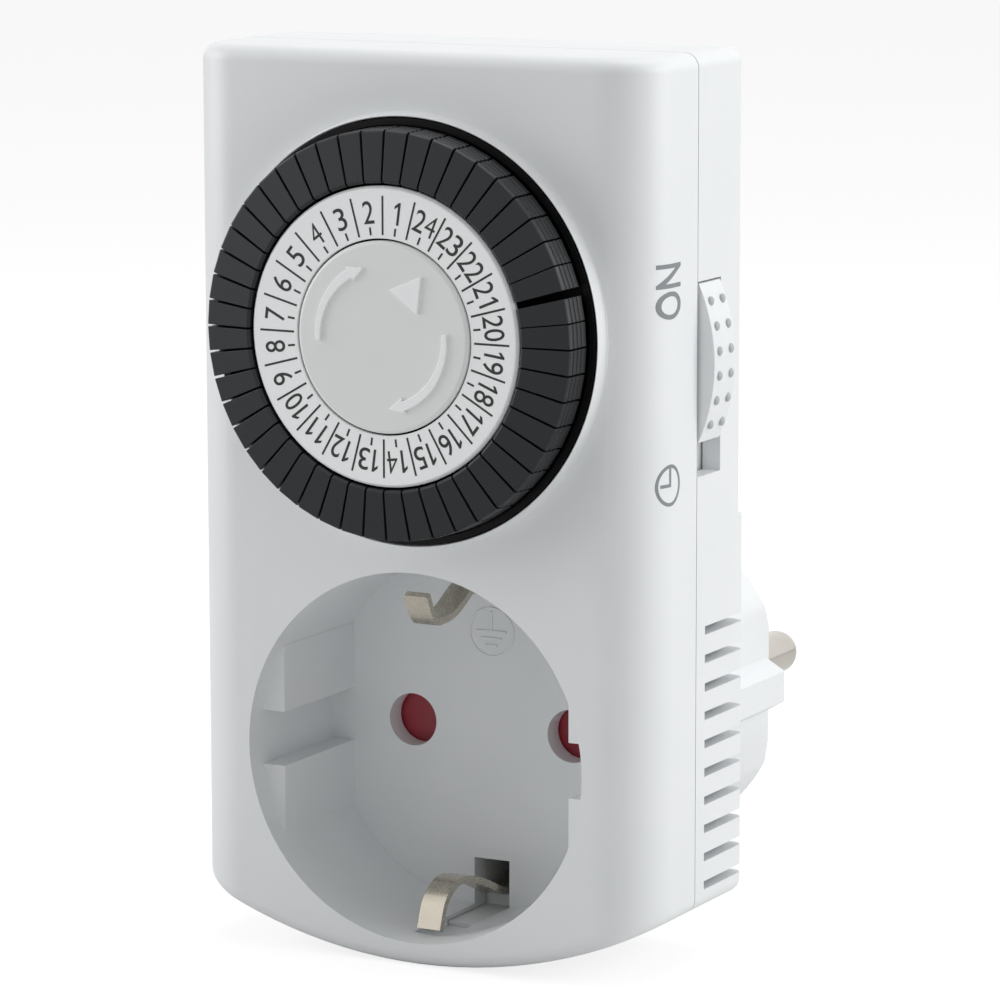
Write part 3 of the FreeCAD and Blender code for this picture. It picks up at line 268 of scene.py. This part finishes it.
def zinc_steel():
    """Zinc-plated steel, a cool grey with soft lines from rolling."""
    return brushed("zinc_plated_steel", "#b4b7bb", "#a3a7ab", 0.36, 0.08, 0.15, "X")


def brown_sheath():
    """Brown PVC round the wires."""
    return surface("brown_pvc", "#5b3a28", "#4f3122", 0.45, 0.05, 0.5, 0.004)


FINISHES = {
    "shell": satin_abs(),
    "segment_plastic": charcoal_nylon(),
    "drum_plastic": black_styrene(),
    "ring_plastic": fine_satin_abs(),
    "shutter_plastic": red_polycarbonate(),
    "gear_plastic": natural_acetal(),
    "nickel": nickel_strip(),
    "pin_metal": nickel_pin(),
    "brass": stamped_brass(),
    "steel": zinc_steel(),
    "carrier_plastic": grey_polyamide(),
    "wire_sheath": brown_sheath(),
}
BLACK_INK = black_ink()
GREY_INK = grey_ink()
GRIP_PLASTIC = grip_abs()
CAP_PLASTIC = cap_abs()
slot_of = {part["node"]: part["material_slot"] for part in frame["record"]["subparts"]}


def finish_node(node):
    """Gives a piece of the frame its finish."""
    mesh = frame["nodes"][node].data
    mesh.materials.clear()
    mesh.materials.append(FINISHES[slot_of[node]])


def new_piece(name, mesh, material, body, nodes=()):
    """Puts a mesh in the scene as a piece that rides on a body."""
    item = bpy.data.objects.new(name, mesh)
    bpy.context.scene.collection.objects.link(item)
    mesh.materials.clear()
    mesh.materials.append(material)
    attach(item, body)
    if nodes:
        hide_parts(*nodes)
    return item


def plain_mesh(item, name):
    """An object's mesh with its modifiers applied; the object goes."""
    bpy.context.view_layer.update()
    evaluated = item.evaluated_get(bpy.context.evaluated_depsgraph_get())
    mesh = bpy.data.meshes.new_from_object(evaluated)
    mesh.name = name
    item.modifiers.clear()
    bpy.data.objects.remove(item)
    return mesh


def softened(mesh, name, edge, steps=2, angle=35):
    """A mesh with its sharp edges rounded and its curved faces smooth."""
    item = bpy.data.objects.new(name, mesh)
    bpy.context.scene.collection.objects.link(item)
    bevel = item.modifiers.new("Edges", "BEVEL")
    bevel.width = edge * MM
    bevel.segments = steps
    bevel.limit_method = "ANGLE"
    bevel.angle_limit = math.radians(angle)
    bevel.harden_normals = True
    bevel.use_clamp_overlap = True
    for face in mesh.polygons:
        face.use_smooth = True
    return plain_mesh(item, name)


def welded(node):
    """A copy of a piece of the frame with its loose triangles joined into flat faces."""
    mesh = frame["nodes"][node].data.copy()
    work = bmesh.new()
    work.from_mesh(mesh)
    bmesh.ops.remove_doubles(work, verts=work.verts, dist=0.002 * MM)
    bmesh.ops.dissolve_limit(work, angle_limit=math.radians(0.5), verts=work.verts, edges=work.edges)
    work.to_mesh(mesh)
    work.free()
    if "custom_normal" in mesh.attributes:
        mesh.attributes.remove(mesh.attributes["custom_normal"])
    return mesh


def dressed(node, edge):
    """The finished moulding that stands for a node, with its edges broken."""
    mesh = softened(welded(node), "finished_" + node, edge)
    body = frame["nodes"][node]["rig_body"]
    return new_piece("finished_" + node, mesh, FINISHES[slot_of[node]], body, [node])


def lettering(words, height, width, swell):
    """Words as a flat mesh centred on the origin, as tall and wide as given; swell thickens the strokes."""
    curve = bpy.data.curves.new("words", "FONT")
    curve.body = words
    curve.resolution_u = 6
    curve.offset = swell
    curve.extrude = 0.5
    item = bpy.data.objects.new("words", curve)
    bpy.context.scene.collection.objects.link(item)
    bpy.context.view_layer.update()
    mesh = bpy.data.meshes.new_from_object(item.evaluated_get(bpy.context.evaluated_depsgraph_get()))
    bpy.data.objects.remove(item)
    spots = [v.co for v in mesh.vertices]
    low = Vector([min(c[k] for c in spots) for k in range(3)])
    high = Vector([max(c[k] for c in spots) for k in range(3)])
    rise = height / (high.y - low.y)
    stretch = width / (high.x - low.x)
    mesh.transform(Matrix.Diagonal((stretch, rise, PRINT_THICK, 1)) @ Matrix.Translation(-(low + high) / 2))
    return mesh


def as_mesh(work, name):
    """The mesh that a bmesh holds; the bmesh goes."""
    mesh = bpy.data.meshes.new(name)
    work.to_mesh(mesh)
    work.free()
    return mesh


def outward_mesh(work, name):
    """The same, once its faces point outwards."""
    bmesh.ops.recalc_face_normals(work, faces=work.faces)
    return as_mesh(work, name)


def joined_mesh(name, meshes):
    """Several meshes as one."""
    work = bmesh.new()
    for mesh in meshes:
        work.from_mesh(mesh)
    return as_mesh(work, name)


def walled(work, near, far):
    """Faces between two loops of as many points."""
    for k in range(len(near)):
        work.faces.new((near[k - 1], near[k], far[k], far[k - 1]))


def facing(across, up, out, place):
    """The turn and place that lays a flat shape on a face, in millimetres."""
    turn = Matrix((across, up, out)).transposed().to_4x4()
    return Matrix.Translation(place) @ turn


def to_metres(mesh):
    """Turns a mesh drawn in millimetres to metres."""
    mesh.transform(Matrix.Scale(MM, 4))
    return mesh


# How far a raised or printed mark is rooted in the face that it lies on.
ROOT = 0.05


def flat_shape(outlines, height):
    """Closed outlines of (x, y) points, raised by a height above the XY plane."""
    work = bmesh.new()
    for outline in outlines:
        base = [work.verts.new((x, y, -ROOT)) for x, y in outline]
        top = [work.verts.new((x, y, height)) for x, y in outline]
        work.faces.new(top)
        work.faces.new(base[::-1])
        walled(work, base, top)
    return outward_mesh(work, "shape")


def ring_band(radius, width, height):
    """A flat ring raised above the XY plane, centred on the origin."""
    count = 64
    work = bmesh.new()
    loops = []
    turns = [2 * math.pi * k / count for k in range(count)]
    for reach, lift in ((radius - width / 2, -ROOT), (radius - width / 2, height),
                        (radius + width / 2, height), (radius + width / 2, -ROOT)):
        spots = [(reach * math.cos(turn), reach * math.sin(turn), lift) for turn in turns]
        loops.append([work.verts.new(spot) for spot in spots])
    for near, far in zip(loops, loops[1:] + loops[:1]):
        walled(work, near, far)
    return outward_mesh(work, "band")


def node_group(name, sockets):
    """A Geometry Nodes tree with named inputs, its input node and the identifier of each input."""
    tree = bpy.data.node_groups.new(name, "GeometryNodeTree")
    names = {}
    for label, kind in sockets:
        names[label] = tree.interface.new_socket(label, in_out="INPUT", socket_type=kind).identifier
    tree.interface.new_socket("Geometry", in_out="OUTPUT", socket_type="NodeSocketGeometry")
    return tree, tree.nodes.new("NodeGroupInput"), names


def grown(name, tree, names, values):
    """The plain mesh that a Geometry Nodes tree makes from these inputs."""
    item = bpy.data.objects.new(name, bpy.data.meshes.new(name))
    bpy.context.scene.collection.objects.link(item)
    modifier = item.modifiers.new("Repeat", "NODES")
    modifier.node_group = tree
    for label, value in values.items():
        modifier[names[label]] = value
    return plain_mesh(item, name)


def bar_ring_tree():
    """Bars set radially round a circle in the XY plane, as many and as long as the inputs say."""
    tree, given, names = node_group("radial_bars", [
        ("Count", "NodeSocketInt"), ("Inner Radius", "NodeSocketFloat"),
        ("Outer Radius", "NodeSocketFloat"), ("Bar Width", "NodeSocketFloat"),
        ("Bar Height", "NodeSocketFloat"), ("First Angle", "NodeSocketFloat"), ("Ink", "NodeSocketMaterial"),
    ])
    out = given.outputs
    total = add(tree, "ShaderNodeMath", {0: out["Inner Radius"], 1: out["Outer Radius"]}, operation="ADD")
    middle = add(tree, "ShaderNodeMath", {0: total.outputs[0], 1: 0.5}, operation="MULTIPLY")
    length = add(tree, "ShaderNodeMath", {0: out["Outer Radius"], 1: out["Inner Radius"]},
                 operation="SUBTRACT")
    extent = add(tree, "ShaderNodeCombineXYZ",
                 {"X": length.outputs[0], "Y": out["Bar Width"], "Z": out["Bar Height"]})
    bar = add(tree, "GeometryNodeMeshCube", {"Size": extent.outputs[0]})
    circle = add(tree, "GeometryNodeMeshCircle", {"Vertices": out["Count"], "Radius": middle.outputs[0]})
    spot = add(tree, "GeometryNodeInputPosition")
    aim = add(tree, "FunctionNodeAlignRotationToVector", {"Vector": spot.outputs[0]},
              axis="X", pivot_axis="Z")
    many = add(tree, "GeometryNodeInstanceOnPoints",
               {"Points": circle.outputs[0], "Instance": bar.outputs[0], "Rotation": aim.outputs[0]})
    turn = add(tree, "ShaderNodeCombineXYZ", {"Z": out["First Angle"]})
    turned = add(tree, "GeometryNodeTransform", {"Geometry": many.outputs[0], "Rotation": turn.outputs[0]})
    real = add(tree, "GeometryNodeRealizeInstances", {"Geometry": turned.outputs[0]})
    inked = add(tree, "GeometryNodeSetMaterial", {"Geometry": real.outputs[0], "Material": out["Ink"]})
    add(tree, "NodeGroupOutput", {"Geometry": inked.outputs[0]})
    return tree, names


def dot_tree():
    """Rows of small domes on a face that bows outwards along its rows."""
    tree, given, names = node_group("grip_dots", [
        ("Rows", "NodeSocketInt"), ("Columns", "NodeSocketInt"), ("Row Pitch", "NodeSocketFloat"),
        ("Column Pitch", "NodeSocketFloat"), ("Dot Radius", "NodeSocketFloat"),
        ("Dot Height", "NodeSocketFloat"), ("Bow Radius", "NodeSocketFloat"),
        ("Plastic", "NodeSocketMaterial"),
    ])
    out = given.outputs
    spans = []
    for count, pitch in (("Columns", "Column Pitch"), ("Rows", "Row Pitch")):
        less = add(tree, "ShaderNodeMath", {0: out[count], 1: 1.0}, operation="SUBTRACT")
        spans.append(add(tree, "ShaderNodeMath", {0: less.outputs[0], 1: out[pitch]}, operation="MULTIPLY"))
    grid = add(tree, "GeometryNodeMeshGrid", {"Size X": spans[0].outputs[0], "Size Y": spans[1].outputs[0],
                                              "Vertices X": out["Columns"], "Vertices Y": out["Rows"]})
    spot = add(tree, "GeometryNodeInputPosition")
    parts = add(tree, "ShaderNodeSeparateXYZ", {0: spot.outputs[0]})
    square = add(tree, "ShaderNodeMath", {0: parts.outputs["Y"], 1: parts.outputs["Y"]}, operation="MULTIPLY")
    twice = add(tree, "ShaderNodeMath", {0: out["Bow Radius"], 1: -2.0}, operation="MULTIPLY")
    drop = add(tree, "ShaderNodeMath", {0: square.outputs[0], 1: twice.outputs[0]}, operation="DIVIDE")
    shift = add(tree, "ShaderNodeCombineXYZ", {"Z": drop.outputs[0]})
    bowed = add(tree, "GeometryNodeSetPosition", {"Geometry": grid.outputs[0], "Offset": shift.outputs[0]})
    dome = add(tree, "GeometryNodeMeshUVSphere", {"Segments": 20, "Rings": 12, "Radius": 1.0})
    extent = add(tree, "ShaderNodeCombineXYZ",
                 {"X": out["Dot Radius"], "Y": out["Dot Radius"], "Z": out["Dot Height"]})
    many = add(tree, "GeometryNodeInstanceOnPoints",
               {"Points": bowed.outputs[0], "Instance": dome.outputs[0], "Scale": extent.outputs[0]})
    real = add(tree, "GeometryNodeRealizeInstances", {"Geometry": many.outputs[0]})
    smooth = add(tree, "GeometryNodeSetShadeSmooth", {"Geometry": real.outputs[0]})
    done = add(tree, "GeometryNodeSetMaterial", {"Geometry": smooth.outputs[0], "Material": out["Plastic"]})
    add(tree, "NodeGroupOutput", {"Geometry": done.outputs[0]})
    return tree, names


def dial_direction(angle):
    """Outward and rightward directions in the dial's plane at an angle from the right."""
    turn = math.radians(angle)
    return Vector((math.cos(turn), 0, math.sin(turn))), Vector((math.sin(turn), 0, -math.cos(turn)))


FACE_ON = facing(TO_THE_RIGHT, UPWARDS, TOWARDS_VIEWER, Vector())


DIGIT_HEIGHT = 2.3
DIGIT_WIDTH = 1.2
DIGIT_PITCH = 1.33
DIGIT_STROKE = 0.002
FINE_STROKE = -0.008


def digit(figure):
    """One printed figure; the one is a stem with a flag, and the four is finer so that its eye stays open."""
    if figure != "1":
        return lettering(figure, DIGIT_HEIGHT, DIGIT_WIDTH, FINE_STROKE if figure == "4" else DIGIT_STROKE)
    half = DIGIT_HEIGHT / 2
    stem = [(0.03, -half), (0.3, -half), (0.3, half), (0.1, half), (-0.34, 0.74), (-0.34, 0.43), (0.03, 0.72)]
    return flat_shape([stem], PRINT_THICK / 2)


def hour_numbers():
    """The hours 1 to 24, anticlockwise round the ring with their tops outwards."""
    middle, first = 12.65, 90 - 180 / HOURS
    meshes = []
    for hour in range(1, HOURS + 1):
        outward, rightward = dial_direction(first + (hour - 1) * 360 / HOURS)
        figures = str(hour)
        for k, figure in enumerate(figures):
            mesh = digit(figure)
            place = DIAL_CENTRE + outward * middle + rightward * DIGIT_PITCH * (k - (len(figures) - 1) / 2)
            place.y = RING_FACE - PRINT_THICK / 2
            mesh.transform(facing(rightward, outward, TOWARDS_VIEWER, place))
            meshes.append(mesh)
    new_piece("hour_numbers", to_metres(joined_mesh("hour_numbers", meshes)), BLACK_INK, "dial")


def hour_ticks():
    """A long line between the hours and a short one at each half hour."""
    tree, names = bar_ring_tree()
    inner, long_end, short_end = 10.35, 14.3, 11.15
    meshes = []
    for outer, first in ((long_end, 0.0), (short_end, 180 / HOURS)):
        mesh = grown("ticks", tree, names, {
            "Count": HOURS, "Inner Radius": inner, "Outer Radius": outer, "Bar Width": 0.21,
            "Bar Height": PRINT_THICK, "First Angle": math.radians(first), "Ink": BLACK_INK,
        })
        meshes.append(mesh)
    mesh = joined_mesh("hour_ticks", meshes)
    place = Vector((DIAL_CENTRE.x, RING_FACE - PRINT_THICK / 2, DIAL_CENTRE.z))
    mesh.transform(Matrix.Translation(place) @ FACE_ON)
    new_piece("hour_ticks", to_metres(mesh), BLACK_INK, "dial")


def arc_arrow(radius, tail, head):
    """A curved arrow whose shaft widens from its tail, as (x, y) points."""
    steps, barb, sweep, point, width = 18, 0.85, 1.5, 13.0, 0.9
    outer, inner = [], []
    way = 1 if head > tail else -1
    neck = head - way * point
    for k in range(steps + 1):
        angle = math.radians(tail + (neck - tail) * k / steps)
        half = width * (0.3 + 0.25 * k / steps)
        outer.append(((radius + half) * math.cos(angle), (radius + half) * math.sin(angle)))
        inner.append(((radius - half) * math.cos(angle), (radius - half) * math.sin(angle)))
    neck_angle, tip_angle = math.radians(neck - way * sweep), math.radians(head)
    barbs = [((radius + side * barb) * math.cos(neck_angle), (radius + side * barb) * math.sin(neck_angle))
             for side in (1, -1)]
    tip = (radius * math.cos(tip_angle), radius * math.sin(tip_angle))
    return outer + [barbs[0], tip, barbs[1]] + inner[::-1]


def cap_relief():
    """The raised triangle that marks the time and two arrows that show which way to turn."""
    triangle = [(0.98, 4.93), (4.15, 2.63), (4.61, 6.44)]
    shapes = [triangle, arc_arrow(7.3, 185.0, 106.0), arc_arrow(7.2, 6.0, -83.0)]
    raised, edge = 0.34, 0.09
    mesh = softened(to_metres(flat_shape(shapes, raised)), "cap_relief", edge)
    place = Vector((DIAL_CENTRE.x, CAP_FACE, DIAL_CENTRE.z)) * MM
    mesh.transform(Matrix.Translation(place) @ FACE_ON)
    # Painted highlight: the relief takes the ring's brighter white, lighter than the cap it stands on.
    new_piece("cap_relief", mesh, FINISHES["ring_plastic"], "case")


def slider_dots():
    """Twelve grip dots on the slider's bowed face."""
    tree, names = dot_tree()
    bow = ((SLIDER_LENGTH / 2) ** 2 + SLIDER_CREST ** 2) / (2 * SLIDER_CREST)
    mesh = grown("slider_dots", tree, names, {
        "Rows": 6, "Columns": 2, "Row Pitch": 2.52, "Column Pitch": 2.7, "Dot Radius": 0.5,
        "Dot Height": 0.3, "Bow Radius": bow, "Plastic": GRIP_PLASTIC,
    })
    middle = Vector((SLIDER_CREST_FACE, FRONT_FACE + SLIDER_DEPTH, SLIDER_FOOT + SLIDER_LENGTH / 2))
    mesh.transform(facing(TO_THE_BACK, UPWARDS, TO_THE_RIGHT, middle))
    new_piece("slider_dots", to_metres(mesh), GRIP_PLASTIC, "mode_slider")


def wrapped(mesh):
    """Lays a mark on the flank's front corner, cut fine enough to follow its curve."""
    cuts, apart = 16, 0.3
    work = bmesh.new()
    work.from_mesh(mesh)
    corner = FRONT_FACE + CORNER_RADIUS
    for k in range(cuts):
        everything = work.verts[:] + work.edges[:] + work.faces[:]
        bmesh.ops.bisect_plane(work, geom=everything, plane_co=(0, corner - apart * k, 0),
                               plane_no=TO_THE_BACK)
    for vertex in work.verts:
        ahead = max(0.0, corner - vertex.co.y)
        vertex.co.x -= CORNER_RADIUS - math.sqrt(CORNER_RADIUS ** 2 - ahead ** 2)
    return as_mesh(work, "wrapped")


def side_marks():
    """ON above, and a clock below, for the slider's two places."""
    depth, words_height, clock_height, bold_stroke = FRONT_FACE + 5.3, 49.4, 29.8, 0.014
    words = lettering("ON", 4.3, 5.6, bold_stroke)
    words.transform(facing(UPWARDS, TOWARDS_VIEWER, TO_THE_RIGHT,
                           Vector((SIDE_FACE + PRINT_THICK / 2, depth, words_height))))
    radius, hand = 1.95, 0.17
    long_hand = [(-hand, -hand), (hand, -hand), (hand, 1.85), (-hand, 1.85)]
    short_hand = [(-1.5, -hand), (-hand, -hand), (-hand, hand), (-1.5, hand)]
    clock = joined_mesh("clock", [
        ring_band(radius, 0.36, PRINT_THICK), flat_shape([long_hand, short_hand], PRINT_THICK),
    ])
    clock.transform(facing(TO_THE_BACK, UPWARDS, TO_THE_RIGHT, Vector((SIDE_FACE, depth, clock_height))))
    marks = wrapped(joined_mesh("side_marks", [words, clock]))
    new_piece("side_marks", to_metres(marks), GREY_INK, "case")


def earth_mark():
    """The raised earth sign on the socket's floor."""
    radius, raised, line, centre_height = 2.6, 0.14, 0.14, 10.3
    lines = [[(-0.13, 0.2), (0.13, 0.2), (0.13, 2.3), (-0.13, 2.3)]]
    for half, lift in ((1.8, 0.1), (1.25, -0.65), (0.75, -1.4)):
        lines.append([(-half, lift - line), (half, lift - line), (half, lift + line), (-half, lift + line)])
    mesh = joined_mesh("earth_mark", [ring_band(radius, 0.3, raised), flat_shape(lines, raised)])
    mesh = softened(to_metres(mesh), "earth_mark", 0.04)
    place = Vector((0, FRONT_FACE + WELL_DEPTH, centre_height)) * MM
    mesh.transform(Matrix.Translation(place) @ FACE_ON)
    new_piece("earth_mark", mesh, FINISHES["shell"], "case")


def swept_strip(name, path, thick, width):
    """A strip of sheet metal whose middle follows (depth, height) points in the plane X = 0."""
    work = bmesh.new()
    rows = []
    for k, here in enumerate(path):
        ahead = (path[min(k + 1, len(path) - 1)] - path[max(k - 1, 0)]).normalized()
        out = Vector((-ahead.y, ahead.x))
        row = []
        for across, lift in ((-1, -1), (1, -1), (1, 1), (-1, 1)):
            spot = here + out * lift * thick / 2
            row.append(work.verts.new((across * width / 2, FRONT_FACE + spot.x, spot.y)))
        rows.append(row)
    for near, far in zip(rows, rows[1:]):
        walled(work, near, far)
    work.faces.new(rows[0][::-1])
    work.faces.new(rows[-1])
    return to_metres(outward_mesh(work, name))


def smooth_path(points):
    """A smooth curve through (depth, height) points, in eight steps from each point to the next."""
    steps = 8
    spots = [Vector(point) for point in points]
    ends = [spots[0] * 2 - spots[1]] + spots + [spots[-1] * 2 - spots[-2]]
    path = []
    for a, b, c, d in zip(ends, ends[1:], ends[2:], ends[3:]):
        for k in range(steps):
            u = k / steps
            path.append(0.5 * (2 * b + (c - a) * u + (2 * a - 5 * b + 4 * c - d) * u ** 2
                               + (3 * b - a - 3 * c + d) * u ** 3))
    return path + [spots[-1]]


def earth_clips():
    """The two sprung earth clips in the socket, bent from one nickel-plated strip."""
    upper = [(1.1, 17.1), (2.7, 14.35), (4.6, 13.95), (7.5, 14.4), (11.0, 16.1), (14.9, 17.3), (18.8, 17.9),
             (23.5, 17.5), (25.2, 16.6), (25.7, 14.5)]
    lower = [(3.6, 18.9), (4.95, 16.0), (7.6, 14.55), (10.7, 14.9), (13.9, 16.0), (18.8, 17.9), (23.5, 17.5),
             (25.2, 16.6), (25.7, 14.5)]
    path = smooth_path(upper + [(depth, -height) for depth, height in reversed(lower)])
    thick, width, edge = 0.8, 2.7, 0.18
    mesh = softened(swept_strip("earth_clips", path, thick, width), "earth_clips", edge, steps=3, angle=60)
    new_piece("earth_clips", mesh, FINISHES["nickel"], "case", ["earth_strip"])


# The segments' play in their slots opens a wide gap on one side of an hour and fades away from it.
SLOT_PLAY = 0.85
PLAY_FADE = 0.55
LOOSE_HOUR = 20
SEGMENT_GAP_ANGLE = 0.7


def on_dial(work, angle, outline):
    """Points of a (radius, depth) outline that stands at an angle round the dial's axis."""
    return [work.verts.new((DIAL_CENTRE.x + radius * math.cos(angle), FRONT_FACE + depth,
                            DIAL_CENTRE.z + radius * math.sin(angle))) for radius, depth in outline]


def segment_profile():
    """A segment's outline as (radius, depth): a sloping face, a side with four ridges and a flat back."""
    inner, shoulder, foot = 15.55, 20.85, 20.97
    front, edge, back = -5.9, -5.2, -2.0
    ridges, groove, swell, corner = 4, 0.24, 0.05, 0.25
    points = [(inner, back), (inner, front + corner), (inner + corner, front), (shoulder - 0.15, edge - 0.12)]
    run = (back - edge) / ridges
    for k in range(ridges):
        start = edge + run * k
        reach = shoulder + (foot - shoulder) * k / ridges
        points += [(reach, start + 0.06), (reach + swell, start + 0.5 * run)]
        if k < ridges - 1:
            points += [(reach + swell, start + 0.72 * run), (reach + swell - groove, start + 0.86 * run)]
    return points + [(foot + swell, back)]


def hour_segments(hour):
    """The finished pair of segments of one hour."""
    profile = segment_profile()
    work = bmesh.new()
    for half in range(2):
        count = (hour - 2) * 2 + half
        past_gap = (count - (LOOSE_HOUR - 1) * 2) % SEGMENTS
        play = SLOT_PLAY * PLAY_FADE ** past_gap - SLOT_PLAY * PLAY_FADE ** (SEGMENTS - 1 - past_gap)
        middle = 90 + (count + 0.5) * 360 / SEGMENTS + play
        half_wide = (360 / SEGMENTS - SEGMENT_GAP_ANGLE) / 2
        first = on_dial(work, math.radians(middle - half_wide), profile)
        second = on_dial(work, math.radians(middle + half_wide), profile)
        work.faces.new(first)
        work.faces.new(second[::-1])
        walled(work, second, first)
    node = "segments_hour_%02d" % hour
    mesh = softened(to_metres(outward_mesh(work, node)), "finished_" + node, 0.06, angle=40)
    new_piece("finished_" + node, mesh, FINISHES["segment_plastic"], "hour_%02d" % hour,
              [node])


def duct_skin():
    """The moulding's skin over the wire duct, where the plug's pedestal tapers."""
    start, end, thick, proud = 24.6, 31.0, 0.5, 0.01
    first_angle, turn, steps = 107, 19, 12
    work = bmesh.new()
    rows = []
    for k in range(steps + 1):
        angle = math.radians(first_angle + turn * k / steps)
        row = []
        for depth, inset in ((start, 0.0), (end, 0.0), (end, thick), (start, thick)):
            along = (depth - PEDESTAL_START) / (PEDESTAL_END - PEDESTAL_START)
            radius = PEDESTAL_WIDE + (PEDESTAL_NARROW - PEDESTAL_WIDE) * along - inset + proud
            spot = (radius * math.cos(angle), FRONT_FACE + depth, radius * math.sin(angle))
            row.append(work.verts.new(spot))
        rows.append(row)
    for near, far in zip(rows, rows[1:]):
        walled(work, near, far)
    work.faces.new(rows[0])
    work.faces.new(rows[-1][::-1])
    mesh = to_metres(outward_mesh(work, "duct_skin"))
    new_piece("duct_skin", mesh, FINISHES["shell"], "case")


def dial_collar():
    """A low collar of the case's own plastic that rises to the dial's rim."""
    running_gap, crest, sunk, count, bend = 0.12, -1.45, 0.4, 160, 8
    bore = DRUM_RADIUS + running_gap
    lip, foot = bore + 0.14, bore + 0.5
    outline = [(bore, sunk), (bore, crest + 0.1), (bore + 0.08, crest), (lip, crest)]
    for k in range(1, bend + 1):
        angle = math.radians(90 * k / bend)
        outline.append((foot - (foot - lip) * math.cos(angle), crest * (1 - math.sin(angle))))
    outline.append((foot, sunk))
    work = bmesh.new()
    rows = [on_dial(work, 2 * math.pi * k / count, outline) for k in range(count)]
    for k in range(count):
        walled(work, rows[k - 1], rows[k])
    for face in work.faces:
        face.smooth = True
    mesh = outward_mesh(work, "dial_collar")
    mesh.set_sharp_from_angle(angle=math.radians(40))
    new_piece("dial_collar", to_metres(mesh), FINISHES["shell"], "case")


def floor_material():
    """A pale sweep: white to the camera except where the object's shadow falls."""
    material = bpy.data.materials.new("pale_floor")
    material.use_nodes = True
    tree = material.node_tree
    tree.nodes.clear()
    path = add(tree, "ShaderNodeLightPath")
    seen = add(tree, "ShaderNodeBsdfDiffuse", {"Color": (0.3, 0.3, 0.3, 1)})
    glow = add(tree, "ShaderNodeEmission", {"Color": (1, 1, 1, 1), "Strength": 0.8})
    both = add(tree, "ShaderNodeAddShader", {0: seen.outputs[0], 1: glow.outputs[0]})
    bounce = add(tree, "ShaderNodeBsdfDiffuse", {"Color": (0.75, 0.75, 0.75, 1)})
    mix = add(tree, "ShaderNodeMixShader",
              {0: path.outputs["Is Camera Ray"], 1: bounce.outputs[0], 2: both.outputs[0]})
    add(tree, "ShaderNodeOutputMaterial", {"Surface": mix.outputs[0]})
    return material


def studio():
    """A pale floor, a white surround and soft lamps from the right, above and the left."""
    mesh = bpy.data.meshes.new("floor")
    reach = 3000 * MM
    corners = [(-reach, -reach), (reach, -reach), (reach, reach), (-reach, reach)]
    mesh.from_pydata([(x, y, cad_low.z) for x, y in corners], [], [(0, 1, 2, 3)])
    floor = bpy.data.objects.new("floor", mesh)
    bpy.context.scene.collection.objects.link(floor)
    mesh.materials.append(floor_material())
    world = bpy.data.worlds.new("surround")
    bpy.context.scene.world = world
    world.use_nodes = True
    tree = world.node_tree
    tree.nodes.clear()
    path = add(tree, "ShaderNodeLightPath")
    shown = add(tree, "ShaderNodeMath", {0: path.outputs["Is Camera Ray"], 1: path.outputs["Is Glossy Ray"]},
                operation="MAXIMUM")
    shown = add(tree, "ShaderNodeMath", {0: shown.outputs[0], 1: path.outputs["Is Transmission Ray"]},
                operation="MAXIMUM")
    level = add(tree, "ShaderNodeMapRange", {"Value": shown.outputs[0], "To Min": 0.44, "To Max": 1.0})
    sky = add(tree, "ShaderNodeBackground", {"Color": (1, 1, 1, 1), "Strength": level.outputs["Result"]})
    add(tree, "ShaderNodeOutputWorld", {"Surface": sky.outputs[0]})
    middle = (cad_low + cad_high) / 2
    for name, place, width, power in (
        ("right_soft", (550, 160, 220), 450, 1.9),
        ("top_soft", (50, 50, 620), 500, 1.6),
        ("left_soft", (-550, -240, 200), 400, 1.5),
    ):
        lamp = bpy.data.lights.new(name, "AREA")
        lamp.shape = "SQUARE"
        lamp.size = width * MM
        lamp.energy = power
        item = bpy.data.objects.new(name, lamp)
        item.location = Vector(place) * MM
        item.rotation_euler = (middle - item.location).to_track_quat("-Z", "Y").to_euler()
        bpy.context.scene.collection.objects.link(item)


def camera():
    """The camera at the photograph's place, with its lens."""
    data = bpy.data.cameras.new("photo_camera")
    data.lens = CAMERA_LENS
    data.sensor_width = 36.0
    data.clip_start, data.clip_end = 0.01, 20.0
    item = bpy.data.objects.new("photo_camera", data)
    item.location = CAMERA_PLACE * MM
    item.rotation_mode = "QUATERNION"
    level = CAMERA_LOOK.to_track_quat("-Z", "Y")
    item.rotation_quaternion = level @ Matrix.Rotation(math.radians(CAMERA_ROLL), 3, "Z").to_quaternion()
    bpy.context.scene.collection.objects.link(item)
    bpy.context.scene.camera = item


camera()
studio()
for node in frame["nodes"]:
    finish_node(node)
for node, edge in (("hour_ring", 0.1), ("centre_cap", 0.12), ("dial_carrier", 0.1), ("mode_slider", 0.2),
                   ("plug_earth_strips", 0.12), ("socket_shutter", 0.15)):
    dressed(node, edge)
bpy.data.objects["finished_centre_cap"].data.materials[0] = CAP_PLASTIC
for hour in range(1, HOURS + 1):
    hour_segments(hour)
dial_collar()
duct_skin()
earth_clips()
dressed("front_case", 0.15)
dressed("rear_case", 0.15)
hour_numbers()
hour_ticks()
cap_relief()
slider_dots()
side_marks()
earth_mark()

bpy.context.scene.view_settings.view_transform = "Standard"
